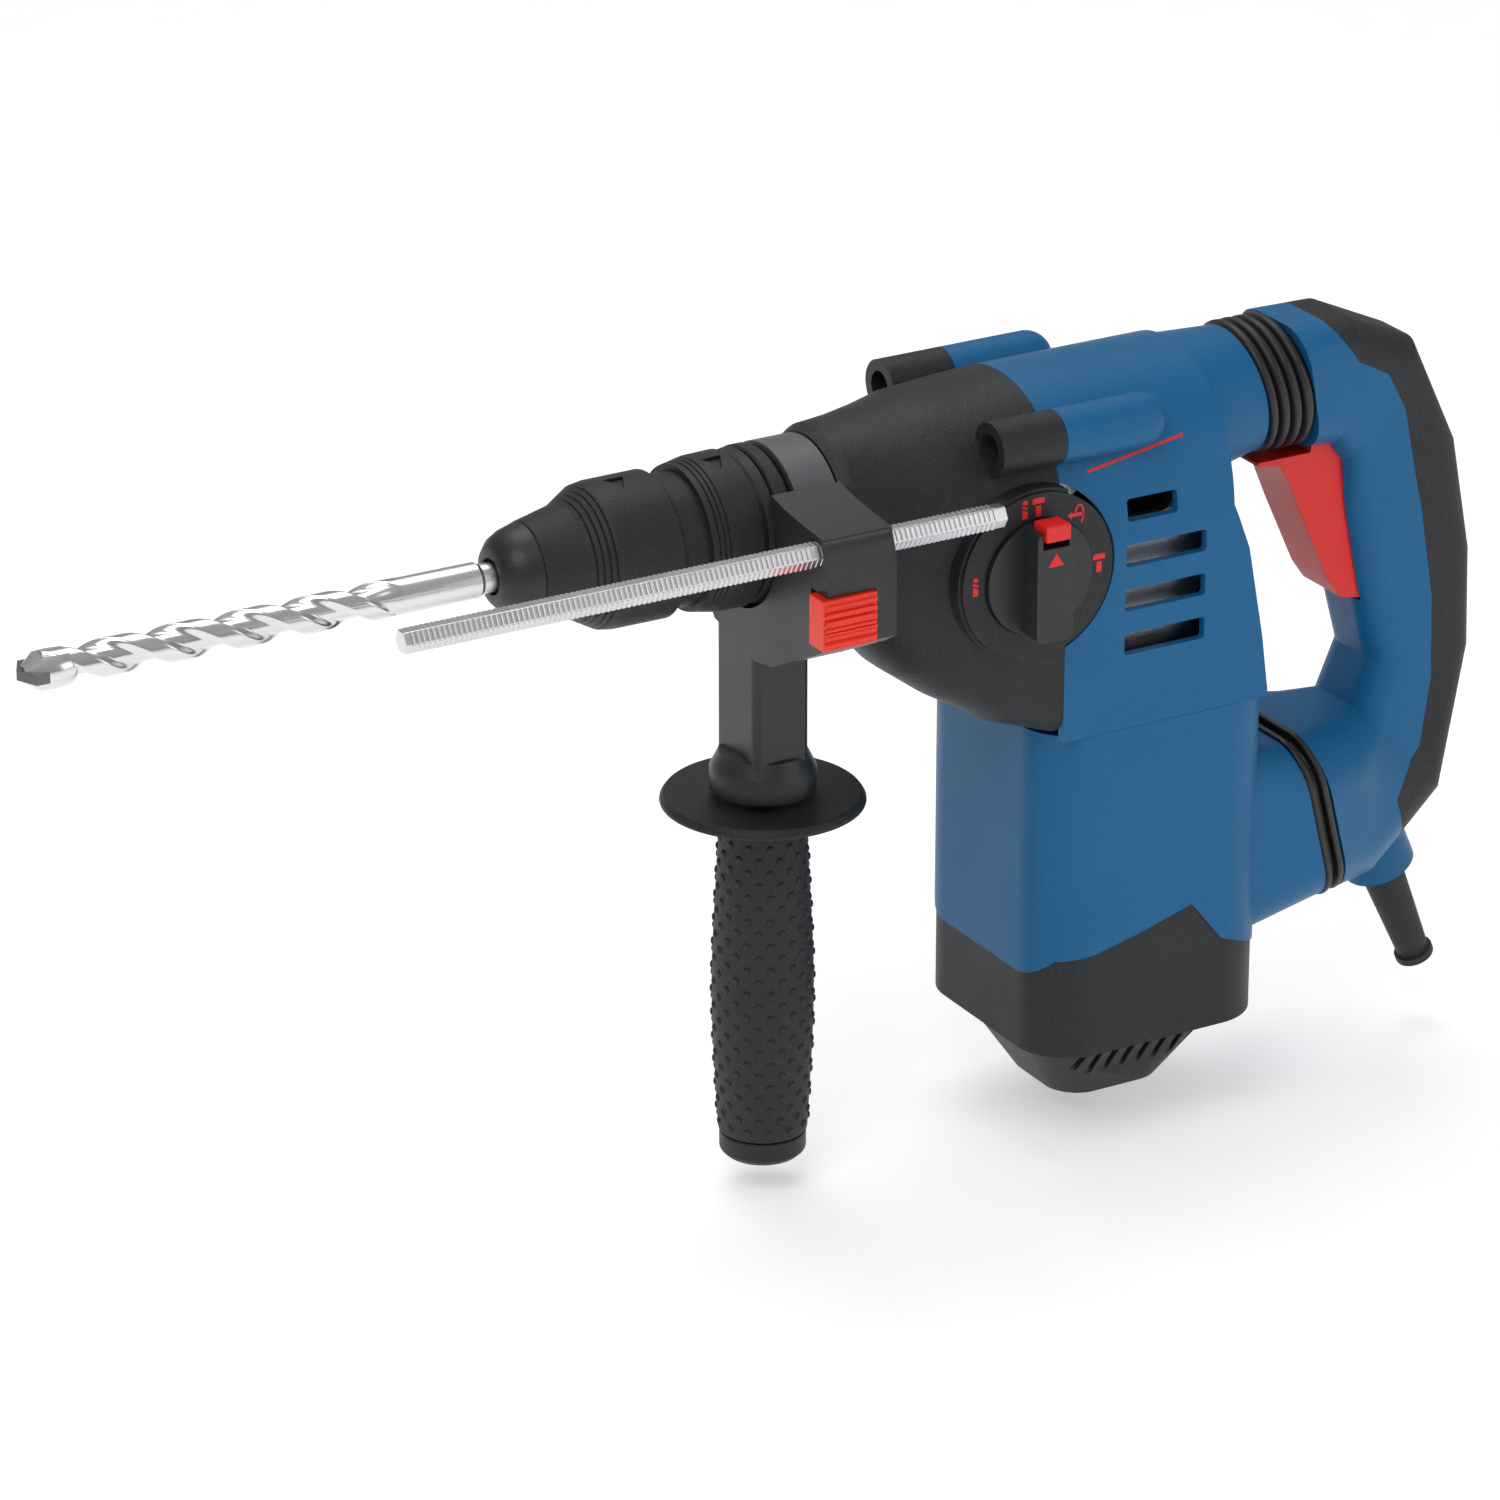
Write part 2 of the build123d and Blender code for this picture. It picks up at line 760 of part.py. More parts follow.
# ---------------------------------------------------------------- inner frame and bearings
small_seat_r = small_bearing_r + seat_gap
with BuildPart() as inner_frame:
    # Base plate with the lower bearing seats.
    with BuildSketch(Plane.XY.offset(plate_z0)):
        with Locations(((frame_x0 + frame_x1) / 2, 0)):
            Rectangle(frame_x1 - frame_x0, 2 * frame_half_width)
        with Locations((mid_x, 0)):
            Circle(12.5)
        with Locations((mid_x, 0), (crank_x, 0)):
            Circle(9.0 + seat_gap, mode=Mode.SUBTRACT)
        with Locations((armature_x, 0)):
            Circle(small_seat_r, mode=Mode.SUBTRACT)
    extrude(amount=plate_z1 - plate_z0)
    # Side walls and rear wall.
    with BuildSketch(Plane.XY.offset(plate_z1)):
        for side in (-1, 1):
            with Locations(((frame_x0 + frame_x1) / 2, side * (frame_half_width - frame_wall / 2))):
                Rectangle(frame_x1 - frame_x0, frame_wall)
        with Locations((frame_x1 - frame_wall / 2, 0)):
            Rectangle(frame_wall, 2 * frame_half_width)
    extrude(amount=frame_top_z - plate_z1)
    # Windows in the side walls.
    with BuildSketch(side_plane(-frame_half_width - 1)):
        with Locations(((frame_x0 + frame_x1) / 2 + 6, -4)):
            RectangleRounded(40, 14, 5)
    extrude(amount=-2 * frame_half_width - 2, mode=Mode.SUBTRACT)
    # Shelf with the upper bearing seats.
    with BuildSketch(Plane.XY.offset(shelf_z0)):
        with Locations(((frame_x0 + 216) / 2, 0)):
            Rectangle(216 - frame_x0, 2 * frame_half_width - 2)
        with Locations((mid_x, 0)):
            Circle(12.5)
        with Locations((mid_x, 0), (crank_x, 0)):
            Circle(9.0 + seat_gap, mode=Mode.SUBTRACT)
    extrude(amount=shelf_z1 - shelf_z0)
    # Ring that carries the hammer tube's rear bush, on a web down to the shelf.
    bush_r = tube_r + run_gap + bush_wall
    with BuildSketch(Plane.YZ.offset(rear_bush_x0)):
        Circle(bush_r + 4)
        with Locations((0, -frame_half_width / 2 - 4)):
            Rectangle(2 * bush_r, frame_half_width + shelf_z1 + 12)
        with Locations((0, 0)):
            Rectangle(2 * frame_half_width - 2, 12)
        Circle(bush_r + seat_gap, mode=Mode.SUBTRACT)
    extrude(amount=rear_bush_x1 - rear_bush_x0)
save(inner_frame, "inner_frame")

with BuildPart() as spindle_bearings:
    ring_points(
        [
            (rear_bush_x0, tube_r + run_gap),
            (rear_bush_x0, bush_r),
            (rear_bush_x1, bush_r),
            (rear_bush_x1, tube_r + run_gap),
        ]
    )
    ring_points(
        [
            (front_bearing_x0, tube_r + run_gap),
            (front_bearing_x0, front_bearing_r),
            (front_bearing_x1, front_bearing_r),
            (front_bearing_x1, tube_r + run_gap),
        ]
    )
save(spindle_bearings, "spindle_bearings")

with BuildPart() as spindle_seal:
    ring_points(
        [
            (neck_x0 + 1, tube_r + run_gap),
            (neck_x0 + 1, neck_bore_r),
            (neck_x0 + 7, neck_bore_r),
            (neck_x0 + 7, tube_r + run_gap),
        ]
    )
save(spindle_seal, "spindle_seal")


def upright_ring(x, bore_r, outer_r, z0, z1):
    """A plain ring on an upright axis at x."""
    upright_points(x, [(bore_r, z0), (outer_r, z0), (outer_r, z1), (bore_r, z1)])


with BuildPart() as shaft_bearings:
    for x, shaft_r in ((crank_x, crank_shaft_r), (mid_x, mid_shaft_r)):
        upright_ring(x, shaft_r + run_gap, 9.0, plate_z0, plate_z1)
        upright_ring(x, shaft_r + run_gap, 9.0, shelf_z0, shelf_z1)
save(shaft_bearings, "shaft_bearings")

with BuildPart() as motor_bearings:
    for z0, z1 in ((plate_z0, plate_z1), (lower_bearing_z0, lower_bearing_z1)):
        upright_ring(armature_x, armature_shaft_r + run_gap, small_bearing_r, z0, z1)
save(motor_bearings, "motor_bearings")

# ---------------------------------------------------------------- motor
screw_reach_x = motor_half_x - 13
screw_reach_y = motor_half_y - 11
with BuildPart() as armature_shaft:
    upright_points(
        armature_x,
        [
            (0, armature_z0),
            (armature_shaft_r, armature_z0),
            (armature_shaft_r, gear_z0 - 0.8),
            (pinion_pitch_r - 1.15, gear_z0 - 0.3),
            (pinion_pitch_r - 1.15, gear_z1 + 0.4),
            (0, gear_z1 + 0.4),
        ],
    )
    # An odd pinion has a space along -X, where the crank gear's tooth points along +X.
    spur_gear(armature_x, gear_z0, gear_z1, pinion_teeth, 0)
save(armature_shaft, "armature_shaft")

with BuildPart() as armature_core:
    upright_ring(armature_x, armature_shaft_r + seat_gap, core_r, stator_z0, stator_z1)
    # End turns of the winding.
    for z0, z1 in ((stator_z0 - 9, stator_z0 - seat_gap), (stator_z1 + seat_gap, stator_z1 + 8)):
        upright_ring(armature_x, armature_shaft_r + seat_gap, core_r - 3, z0, z1)
save(armature_core, "armature_core")

with BuildPart() as commutator:
    upright_ring(armature_x, armature_shaft_r + seat_gap, commutator_r, commutator_z0, commutator_z1)
save(commutator, "commutator")

with BuildPart() as cooling_fan:
    upright_ring(armature_x, armature_shaft_r + seat_gap, 9.0, fan_z0, fan_z1)
    upright_ring(armature_x, 8.0, fan_r, fan_z0, fan_z0 + 1.6)
    for i in range(10):
        turn = 2 * pi * i / 10
        blade = Plane(
            origin=(armature_x, 0, fan_z0 + 1), x_dir=(cos(turn), sin(turn), 0), z_dir=(0, 0, 1)
        )
        with BuildSketch(blade):
            with Locations((fan_r - 12, 0)):
                Rectangle(18, 1.5)
        extrude(amount=fan_z1 - fan_z0 - 1)
save(cooling_fan, "cooling_fan")

inner_half_x = motor_half_x - motor_wall
inner_half_y = motor_half_y - motor_wall
with BuildPart() as stator:
    with BuildSketch(Plane.XY.offset(stator_z0)):
        with Locations((motor_x, 0)):
            RectangleRounded(
                2 * (inner_half_x - 0.2), 2 * (inner_half_y - 0.2), motor_corner_r - motor_wall
            )
            Circle(stator_bore_r, mode=Mode.SUBTRACT)
    extrude(amount=stator_z1 - stator_z0)
save(stator, "stator")

brush_x0 = commutator_r + 0.3
with BuildPart() as carbon_brushes:
    for side in (-1, 1):
        with Locations((armature_x, side * (brush_x0 + 7), (commutator_z0 + commutator_z1) / 2)):
            Box(brush_width, 14, brush_height)
save(carbon_brushes, "carbon_brushes")

carrier_z0 = commutator_z0 - 4
carrier_half_x = screw_reach_x - motor_screw_r - 2
with BuildPart() as brush_carrier:
    with BuildSketch(Plane.XY.offset(carrier_z0)):
        with Locations((motor_x, 0)):
            RectangleRounded(2 * carrier_half_x, 2 * (inner_half_y - 4), 6)
            Circle(commutator_r + 2, mode=Mode.SUBTRACT)
    extrude(amount=2.5)
    for side in (-1, 1):
        with BuildSketch(Plane.XY.offset(carrier_z0 + 2)):
            with Locations((armature_x, side * (brush_x0 + 12))):
                Rectangle(brush_width + 5, 16)
        extrude(amount=18)
        with Locations((armature_x, side * (brush_x0 + 8), (commutator_z0 + commutator_z1) / 2)):
            Box(brush_width + 0.3, 18, brush_height + 0.3, mode=Mode.SUBTRACT)
save(brush_carrier, "brush_carrier")

# ---------------------------------------------------------------- gear case
# Each station: x, half width, top, bottom, widest level, and the two corner powers.
case_stations = [
    (case_x0, 26.2, 26.2, -26.2, 0.0, 2.0, 2.0),
    (case_x0 + 4, 28.4, 28.4, -28.8, 0.0, 2.0, 2.0),
    (case_x0 + 14, 30.6, 29.3, -45.0, -3.0, 2.0, 2.2),
    (case_x0 + 26, 35.5, 30.8, -58.5, -6.0, 2.0, 2.7),
    (case_x0 + 37, 40.0, 33.0, -66.5, -11.0, 2.05, 3.4),
    (case_x0 + 52, 42.6, 33.8, -74.5, -16.0, 2.15, 5.5),
    (case_x1, case_half_width, case_top_z, case_bottom_z, waist_z, 2.2, 10.0),
]


def case_body(inset):
    """Loft the gear case's body, drawn in by inset on every side."""
    sections = []
    for x, half, top, bottom, middle, power_a, power_b in case_stations:
        with BuildSketch(Plane.YZ.offset(x)) as section:
            oval(half - inset, top - inset, bottom + inset, middle, power_a, power_b)
        sections.append(section.sketch)
    return sections


def screw_boss(x0, x1, outer_r, bore_r, side, mode=Mode.ADD):
    """One tube of the housing's top screw bosses, on the given side."""
    with BuildSketch(Plane.YZ.offset(x0)) as ring:
        with Locations((side * boss_y, boss_z)):
            Circle(outer_r)
            if bore_r > 0:
                Circle(bore_r, mode=Mode.SUBTRACT)
    extrude(ring.sketch, amount=x1 - x0, mode=mode)


bearing_back_x = front_bearing_x1 + 2
with BuildPart() as case_cavity:
    loft(case_body(case_wall), ruled=True)
    with Locations(((bearing_back_x + case_x0) / 2 - 50, 0, 0)):
        Box(bearing_back_x - case_x0 + 100, 200, 200, mode=Mode.SUBTRACT)

with BuildPart() as gear_case:
    loft(case_body(0), ruled=True)
    add(case_cavity.part, mode=Mode.SUBTRACT)
    for side in (-1, 1):
        screw_boss(boss_x0, case_x1, boss_r, 0, side)
        screw_boss(boss_x0 - 1, case_x1 - 8, boss_bore_r, 0, side, Mode.SUBTRACT)
        screw_boss(case_x1 - 9, case_x1 + 1, case_screw_r + free_gap, 0, side, Mode.SUBTRACT)
    # Neck that the side handle's band grips, with the seal's and the bearing's seats.
    ring_points(
        [
            (neck_x0, neck_bore_r),
            (neck_x0, neck_r),
            (case_x0 + 0.5, neck_r),
            (case_x0 + 0.5, neck_bore_r),
        ]
    )
    bearing_seats = [
        (case_x0 - 1, 0),
        (case_x0 - 1, neck_bore_r),
        (front_bearing_x0, neck_bore_r),
        (front_bearing_x0, front_bearing_r + seat_gap),
        (front_bearing_x1, front_bearing_r + seat_gap),
        (front_bearing_x1, neck_bore_r),
        (bearing_back_x + 1, neck_bore_r),
        (bearing_back_x + 1, 0),
    ]
    with BuildSketch(Plane.XZ) as seats:
        with BuildLine():
            Polyline(*bearing_seats, close=True)
        make_face()
    revolve(seats.sketch, axis=Axis.X, mode=Mode.SUBTRACT)
    # Round seat of the mode selector, on the left side.
    with BuildSketch(side_plane(-case_half_width + 5)) as dial_seat:
        with Locations((dial_x, dial_z)):
            Circle(dial_r + 1.2)
    extrude(dial_seat.sketch, amount=-dial_seat_y - case_half_width + 5)
    with Locations((case_x1 + 50, 0, 0)):
        Box(100, 200, 200, mode=Mode.SUBTRACT)
    with BuildSketch(side_plane(dial_y - 2)) as knob_hole:
        with Locations((dial_x, dial_z)):
            Circle(knob_r - 6 + run_gap)
    extrude(knob_hole.sketch, amount=-12, mode=Mode.SUBTRACT)
    # Level bottom where the case meets the motor housing.
    with Locations((case_x0 + 37, 0, case_bottom_z - 50)):
        Box(300, 200, 100, mode=Mode.SUBTRACT)
save(gear_case, "gear_case")

with BuildPart() as case_screws:
    for side in (-1, 1):
        screw_boss(case_x1 - 8 - 4, case_x1 - 8 - seat_gap, boss_bore_r - 0.8, 0, side)
        screw_boss(case_x1 - 9, boss_x1 - 8, case_screw_r, 0, side)
        with BuildSketch(Plane.YZ.offset(case_x1 - 8 - 4)) as socket:
            with Locations((side * boss_y, boss_z)):
                RegularPolygon(2.2, 6)
        extrude(socket.sketch, amount=2.4, mode=Mode.SUBTRACT)

# ---------------------------------------------------------------- upper housing
upper_x0 = case_x1 + upper_gap


def upper_section(inset):
    """Cross-section of the upper housing: an arched top over straight sides."""
    half = case_half_width - inset
    rise = case_top_z - waist_z - inset
    points = []
    for i in range(17):
        angle = pi * i / 16
        reach = ((abs(cos(angle)) / half) ** 2.2 + (sin(angle) / rise) ** 2.2) ** (-1 / 2.2)
        points.append((reach * cos(angle), waist_z + reach * sin(angle)))
    with BuildLine() as outline:
        Spline(*points, tangents=((0, 1), (0, -1)))
        Polyline(
            points[-1], (-half, case_bottom_z - 5), (half, case_bottom_z - 5), points[0]
        )
    make_face(outline.edges())


def upper_profile(inset, front):
    """Side profile of the upper housing, with its leaning rear edge."""
    with BuildLine() as outline:
        Polyline(
            (front, case_bottom_z),
            (upper_rear_x - inset, case_bottom_z),
            (upper_rear_x - 3 - inset, -58),
            (upper_rear_x - 9 - inset, -26),
            (upper_rear_top_x + 4 - inset, -10),
            (upper_rear_top_x + 4 - inset, case_top_z - inset),
            (front, case_top_z - inset),
            close=True,
        )
    make_face(outline.edges())


neck_plane = station(neck_end_x, neck_centre_z, neck_tilt)
with BuildPart() as upper_cavity:
    with BuildSketch(Plane.YZ.offset(upper_x0 - 1)):
        upper_section(upper_wall)
    extrude(amount=100)
    with BuildSketch(side_plane(-60)) as profile:
        upper_profile(upper_wall, upper_x0 - 1)
    extrude(profile.sketch, amount=-120, mode=Mode.INTERSECT)

with BuildPart() as upper_housing:
    with BuildSketch(Plane.YZ.offset(upper_x0)):
        upper_section(0)
    extrude(amount=100)
    with BuildSketch(side_plane(-60)) as profile:
        upper_profile(0, upper_x0)
    extrude(profile.sketch, amount=-120, mode=Mode.INTERSECT)
    # Neck that runs back to the upper bellows.
    with BuildSketch(Plane.YZ.offset(upper_rear_top_x - 14)) as neck_front:
        oval(30.0, case_top_z, -18.0, neck_centre_z - 4, 2.2, 2.6)
    with BuildSketch(neck_plane) as neck_back:
        Circle(neck_ring_r)
    loft([neck_front.sketch, neck_back.sketch], ruled=True)
    for side in (-1, 1):
        screw_boss(upper_x0, boss_x1 - 4, boss_r, 0, side)
        with Locations((boss_x1 - 4, side * boss_y, boss_z)):
            Sphere(boss_r)
    # The lobes' inner halves stay outside the cavity; the cavity is cut last.
    add(upper_cavity.part, mode=Mode.SUBTRACT)
    for side in (-1, 1):
        screw_boss(upper_x0 - 1, boss_x1 - 6, case_screw_r + free_gap, 0, side, Mode.SUBTRACT)
    # The neck's bore for the damper spring, with a web in front of it.
    for x0, x1 in ((upper_rear_top_x - 2, spring_web_x), (spring_web_x + upper_wall, neck_end_x + 9)):
        with BuildSketch(Plane.YZ.offset(x0)) as neck_bore:
            with Locations((0, neck_centre_z)):
                Circle(neck_ring_r - 6)
        extrude(neck_bore.sketch, amount=x1 - x0, mode=Mode.SUBTRACT)
    # Recess at the bottom for the round seat of the mode selector.
    with BuildSketch(side_plane(dial_y - 10)) as dial_seat:
        with Locations((dial_x, dial_z)):
            Circle(dial_r + 1.2 + free_gap)
    extrude(dial_seat.sketch, amount=-25, mode=Mode.SUBTRACT)
    # Vent windows on both sides.
    with BuildSketch(side_plane(-60)) as vents:
        for i in range(4):
            with Locations(((vent_x0 + vent_x1) / 2 - (5 if i == 0 else 0), vent_first_z - i * vent_pitch)):
                RectangleRounded((vent_x1 - vent_x0) * (0.62 if i == 0 else 1), vent_height, 1.2)
    extrude(vents.sketch, amount=-120, mode=Mode.SUBTRACT)
save(upper_housing, "upper_housing")

# ---------------------------------------------------------------- motor housing and cap
def swoop_side(level, drop):
    """Side face between the swooping seam, moved down by drop, and a level."""
    seam = [
        (motor_x0 - 30, swoop_front_z - drop),
        (motor_x0, swoop_front_z - drop),
        (motor_x0 + 6, swoop_front_z + 7 - drop),
        (motor_x0 + 18, swoop_front_z + 9 - drop),
        (motor_x0 + 35, swoop_front_z + 13 - drop),
        (swoop_peak_x, swoop_peak_z - drop),
        (swoop_rear_x, swoop_rear_z + 8 - drop),
        (motor_x1 - 2, swoop_rear_z - drop),
        (motor_x1 + 60, swoop_rear_z - drop),
    ]
    with BuildLine() as outline:
        Polyline(*seam, (motor_x1 + 60, level), (motor_x0 - 30, level), close=True)
    make_face(outline.edges())


block_stations = [
    (motor_x1 - 10, -138.0, 0.0, 38.0, 35.5),
    (arm_front_x, arm_centre_z, arm_tilt, arm_half_width, arm_half_height),
]


def block_loft(inset):
    """Loft of the block that carries the rear handle's pivot."""
    faces = []
    for x, z, heading, half_w, half_h in block_stations:
        with BuildSketch(station(x, z, heading)) as section:
            RectangleRounded(2 * (half_w - inset), 2 * (half_h - inset), 16 - inset)
        faces.append(section.sketch)
    return faces


with BuildPart() as motor_housing:
    with BuildSketch(Plane.XY.offset(case_bottom_z - upper_gap)):
        with Locations((motor_x, 0)):
            RectangleRounded(2 * motor_half_x, 2 * motor_half_y, motor_corner_r)
    extrude(amount=swoop_rear_z - case_bottom_z - 8)
    loft(block_loft(0), ruled=True)
    with BuildSketch(side_plane(-80)) as upper_side:
        swoop_side(case_bottom_z + 20, 0)
    extrude(upper_side.sketch, amount=-160, mode=Mode.INTERSECT)
    with BuildSketch(Plane.XY.offset(case_bottom_z + 5)) as hollow:
        with Locations((motor_x, 0)):
            RectangleRounded(2 * inner_half_x, 2 * inner_half_y, motor_corner_r - motor_wall)
    extrude(hollow.sketch, amount=-120, mode=Mode.SUBTRACT)
    with BuildPart(mode=Mode.PRIVATE) as block_hollow:
        loft(block_loft(motor_wall), ruled=True)
    add(block_hollow.part, mode=Mode.SUBTRACT)
    with Locations((arm_front_x + 1, 0, arm_centre_z)):
        Box(12, 2 * (arm_half_width - 9), 2 * (arm_half_height - 9), mode=Mode.SUBTRACT)
    # Ears that hold the pivot pin.
    for side in (-1, 1):
        ear = Plane(origin=(0, side * 24, 0), x_dir=(1, 0, 0), z_dir=(0, side, 0))
        with BuildSketch(ear) as ear_face:
            with Locations((handle_pivot_x, -side * handle_pivot_z)):
                Circle(pivot_pin_r + 4)
        extrude(ear_face.sketch, amount=arm_half_width - 24 - 1)
    with BuildSketch(side_plane(-34)) as pin_hole:
        with Locations((handle_pivot_x, handle_pivot_z)):
            Circle(pivot_pin_r + run_gap)
    extrude(pin_hole.sketch, amount=-68, mode=Mode.SUBTRACT)
save(motor_housing, "motor_housing")

with BuildPart() as motor_cap:
    with BuildSketch(Plane.XY.offset(cap_lip_z)):
        with Locations((motor_x, 0)):
            RectangleRounded(
                2 * (motor_half_x - cap_inset), 2 * (motor_half_y - cap_inset), motor_corner_r - cap_inset
            )
    extrude(amount=swoop_peak_z - cap_lip_z + 1)
    with BuildSketch(side_plane(-80)) as lower_side:
        swoop_side(cap_lip_z - 40, upper_gap)
    extrude(lower_side.sketch, amount=-160, mode=Mode.INTERSECT)
    with BuildSketch(Plane.XY.offset(cap_lip_z)) as dome_top:
        with Locations((motor_x - 2, 0)):
            RectangleRounded(2 * dome_top_half_x, 2 * dome_top_half_y, dome_corner_r)
    with BuildSketch(Plane.XY.offset(cap_bottom_z)) as dome_bottom:
        with Locations((motor_x - 2, 0)):
            RectangleRounded(2 * dome_bottom_half_x, 2 * dome_bottom_half_y, dome_corner_r - 4)
    loft([dome_top.sketch, dome_bottom.sketch], ruled=True)
    with BuildSketch(Plane.XY.offset(cap_lip_z + cap_wall)) as hollow:
        with Locations((motor_x, 0)):
            RectangleRounded(2 * inner_half_x, 2 * inner_half_y, motor_corner_r - motor_wall)
    extrude(hollow.sketch, amount=80, mode=Mode.SUBTRACT)
    with BuildSketch(Plane.XY.offset(cap_lip_z + cap_wall + 1)) as hollow_top:
        with Locations((motor_x - 2, 0)):
            RectangleRounded(
                2 * (dome_top_half_x - cap_wall), 2 * (dome_top_half_y - cap_wall), dome_corner_r - cap_wall
            )
    with BuildSketch(Plane.XY.offset(cap_bottom_z + cap_wall)) as hollow_bottom:
        with Locations((motor_x - 2, 0)):
            RectangleRounded(
                2 * (dome_bottom_half_x - cap_wall + 1),
                2 * (dome_bottom_half_y - cap_wall + 1),
                dome_corner_r - 4 - cap_wall + 1,
            )
    loft([hollow_top.sketch, hollow_bottom.sketch], ruled=True, mode=Mode.SUBTRACT)
    # Seat of the motor's lower bearing.
    upright_ring(armature_x, armature_shaft_r + 1, small_bearing_r + 2.5, cap_bottom_z + 1, lower_bearing_z0)
    upright_ring(
        armature_x, small_bearing_r + seat_gap, small_bearing_r + 2.5, lower_bearing_z0 - 0.01, lower_bearing_z1
    )
    # Slanted air slots through both flanks of the dome.
    with BuildSketch(side_plane(-60)) as slots:
        for i in range(vent_slot_count):
            with Locations((motor_x - 24 + vent_slot_pitch * i, (cap_lip_z + cap_bottom_z) / 2 + 1)):
                SlotOverall(15, vent_slot_width, rotation=80)
    extrude(slots.sketch, amount=-34, mode=Mode.SUBTRACT)
    extrude(slots.sketch.moved(Location((0, 86, 0))), amount=-34, mode=Mode.SUBTRACT)
save(motor_cap, "motor_cap")

screw_head_z = cap_lip_z + cap_wall + 2
with BuildPart() as motor_screws:
    for x_side in (-1, 1):
        for y_side in (-1, 1):
            x = motor_x + x_side * screw_reach_x
            y = y_side * screw_reach_y
            with Locations((x, y, screw_head_z + 1.5)):
                Cylinder(motor_screw_head_r, 3)
            with Locations((x, y, screw_head_z + 3 + motor_screw_length / 2)):
                Cylinder(motor_screw_r, motor_screw_length)
    add(case_screws.part)
save(motor_screws, "housing_screws")

# ---------------------------------------------------------------- bellows
def ring_face(x, z, heading, radius):
    """A round face across the neck."""
    with BuildSketch(station(x, z, heading)) as face:
        Circle(radius)
    return face.sketch


def frame_face(x, z, heading, half_w, half_h, corner):
    """A rounded rectangular face across the lower arm."""
    with BuildSketch(station(x, z, heading)) as face:
        RectangleRounded(2 * half_w, 2 * half_h, corner)
    return face.sketch


def along(x, z, heading, distance):
    """The point reached from (x, z) after a distance along a heading."""
    return x + distance * cos(radians(heading)), z + distance * sin(radians(heading))


bellows_length = upper_arm_x - neck_end_x
with BuildPart() as upper_bellows:
    ribs = 4
    step = (bellows_length - upper_bellows_gap - 0.2) / (2 * ribs + 1)
    for i in range(2 * ribs + 1):
        big = i % 2 == 0
        a = along(neck_end_x, neck_centre_z, neck_tilt, 0.1 + step * i)
        b = along(neck_end_x, neck_centre_z, neck_tilt, 0.1 + step * (i + 1))
        radius = neck_ring_r + (0.8 if i in (0, 2 * ribs) else 0.0) - (0 if big else 2.6)
        loft([ring_face(*a, neck_tilt, radius), ring_face(*b, neck_tilt, radius)], ruled=True)
    a = along(neck_end_x, neck_centre_z, neck_tilt, -1)
    b = along(upper_arm_x, neck_centre_z, neck_tilt, 1)
    loft(
        [ring_face(*a, neck_tilt, neck_ring_r - 5), ring_face(*b, neck_tilt, neck_ring_r - 5)],
        ruled=True,
        mode=Mode.SUBTRACT,
    )
save(upper_bellows, "upper_bellows")

arm_gap_length = arm_rear_x - arm_front_x
with BuildPart() as lower_bellows:
    width = (arm_gap_length - lower_bellows_gap - 0.2) / 3
    for i in range(3):
        grow = -2.5 if i == 1 else 0.8
        faces = []
        for distance in (0.1 + width * i, 0.1 + width * (i + 1)):
            x, z = along(arm_front_x, arm_centre_z, arm_tilt, distance)
            faces.append(frame_face(x, z, arm_tilt, arm_half_width + grow, arm_half_height + grow, 16 + grow))
        loft(faces, ruled=True)
    faces = []
    for distance in (-1, arm_gap_length):
        x, z = along(arm_front_x, arm_centre_z, arm_tilt, distance)
        faces.append(frame_face(x, z, arm_tilt, arm_half_width - 7, arm_half_height - 7, 9))
    loft(faces, ruled=True, mode=Mode.SUBTRACT)
save(lower_bellows, "lower_bellows")

# ---------------------------------------------------------------- rear handle
# Each station: x, z, heading of the grip's path, half thickness, half width.
handle_stations = [
    (upper_arm_x, neck_centre_z, neck_tilt, 22.0, 21.6),
    (312.0, 12.0, -8.0, 22.3, 20.0),
    (328.0, 2.5, -36.0, 24.0, 18.5),
    (338.0, -25.0, -70.0, 24.5, handle_half_width),
    (345.0, -60.0, -83.0, 24.0, handle_half_width),
    (349.5, -92.0, -92.0, 20.5, handle_half_width),
    (341.0, -126.0, -136.0, 26.0, 18.5),
    (319.0, -138.0, -168.0, 30.0, 30.0),
    (arm_rear_x, arm_centre_z, -180 + arm_tilt, arm_half_height, arm_half_width),
]


def handle_faces(inset):
    """Section faces of the D-shaped handle, drawn in by inset."""
    faces = []
    for x, z, heading, half_t, half_w in handle_stations:
        with BuildSketch(station(x, z, heading)) as section:
            corner = 0.62 * min(half_t, half_w)
            RectangleRounded(2 * (half_w - inset), 2 * (half_t - inset), corner - 0.6 * inset)
        faces.append(section.sketch)
    return faces


def trigger_profile(grow):
    """Side outline of the trigger, grown on every side."""
    with BuildLine() as outline:
        Polyline(
            (281, -11.6),
            (281, -12.8),
            (290, -14.4),
            (293.5, -20),
            (299, -33),
            (311, -59),
            (316, -66),
            (325, -68),
            (325, -58),
            (322, -30),
            (318, -3.5),
            (303, -3.5),
            (302, -11.6),
            close=True,
        )
    make_face(outline.edges())
    if grow > 0:
        offset(amount=grow, kind=Kind.INTERSECTION)


with BuildPart() as handle_body:
    loft(handle_faces(0), ruled=True)
    # Foot that carries the cord's sleeve.
    foot_top = along(sleeve_top_x, sleeve_top_z, 90 + sleeve_tilt, 30)
    foot_plane = Plane(
        origin=(foot_top[0], 0, foot_top[1]),
        x_dir=(0, 1, 0),
        z_dir=(sin(radians(sleeve_tilt)), 0, -cos(radians(sleeve_tilt))),
    )
    with BuildSketch(foot_plane) as foot:
        Ellipse(12.5, 12.5)
    extrude(foot.sketch, amount=30)

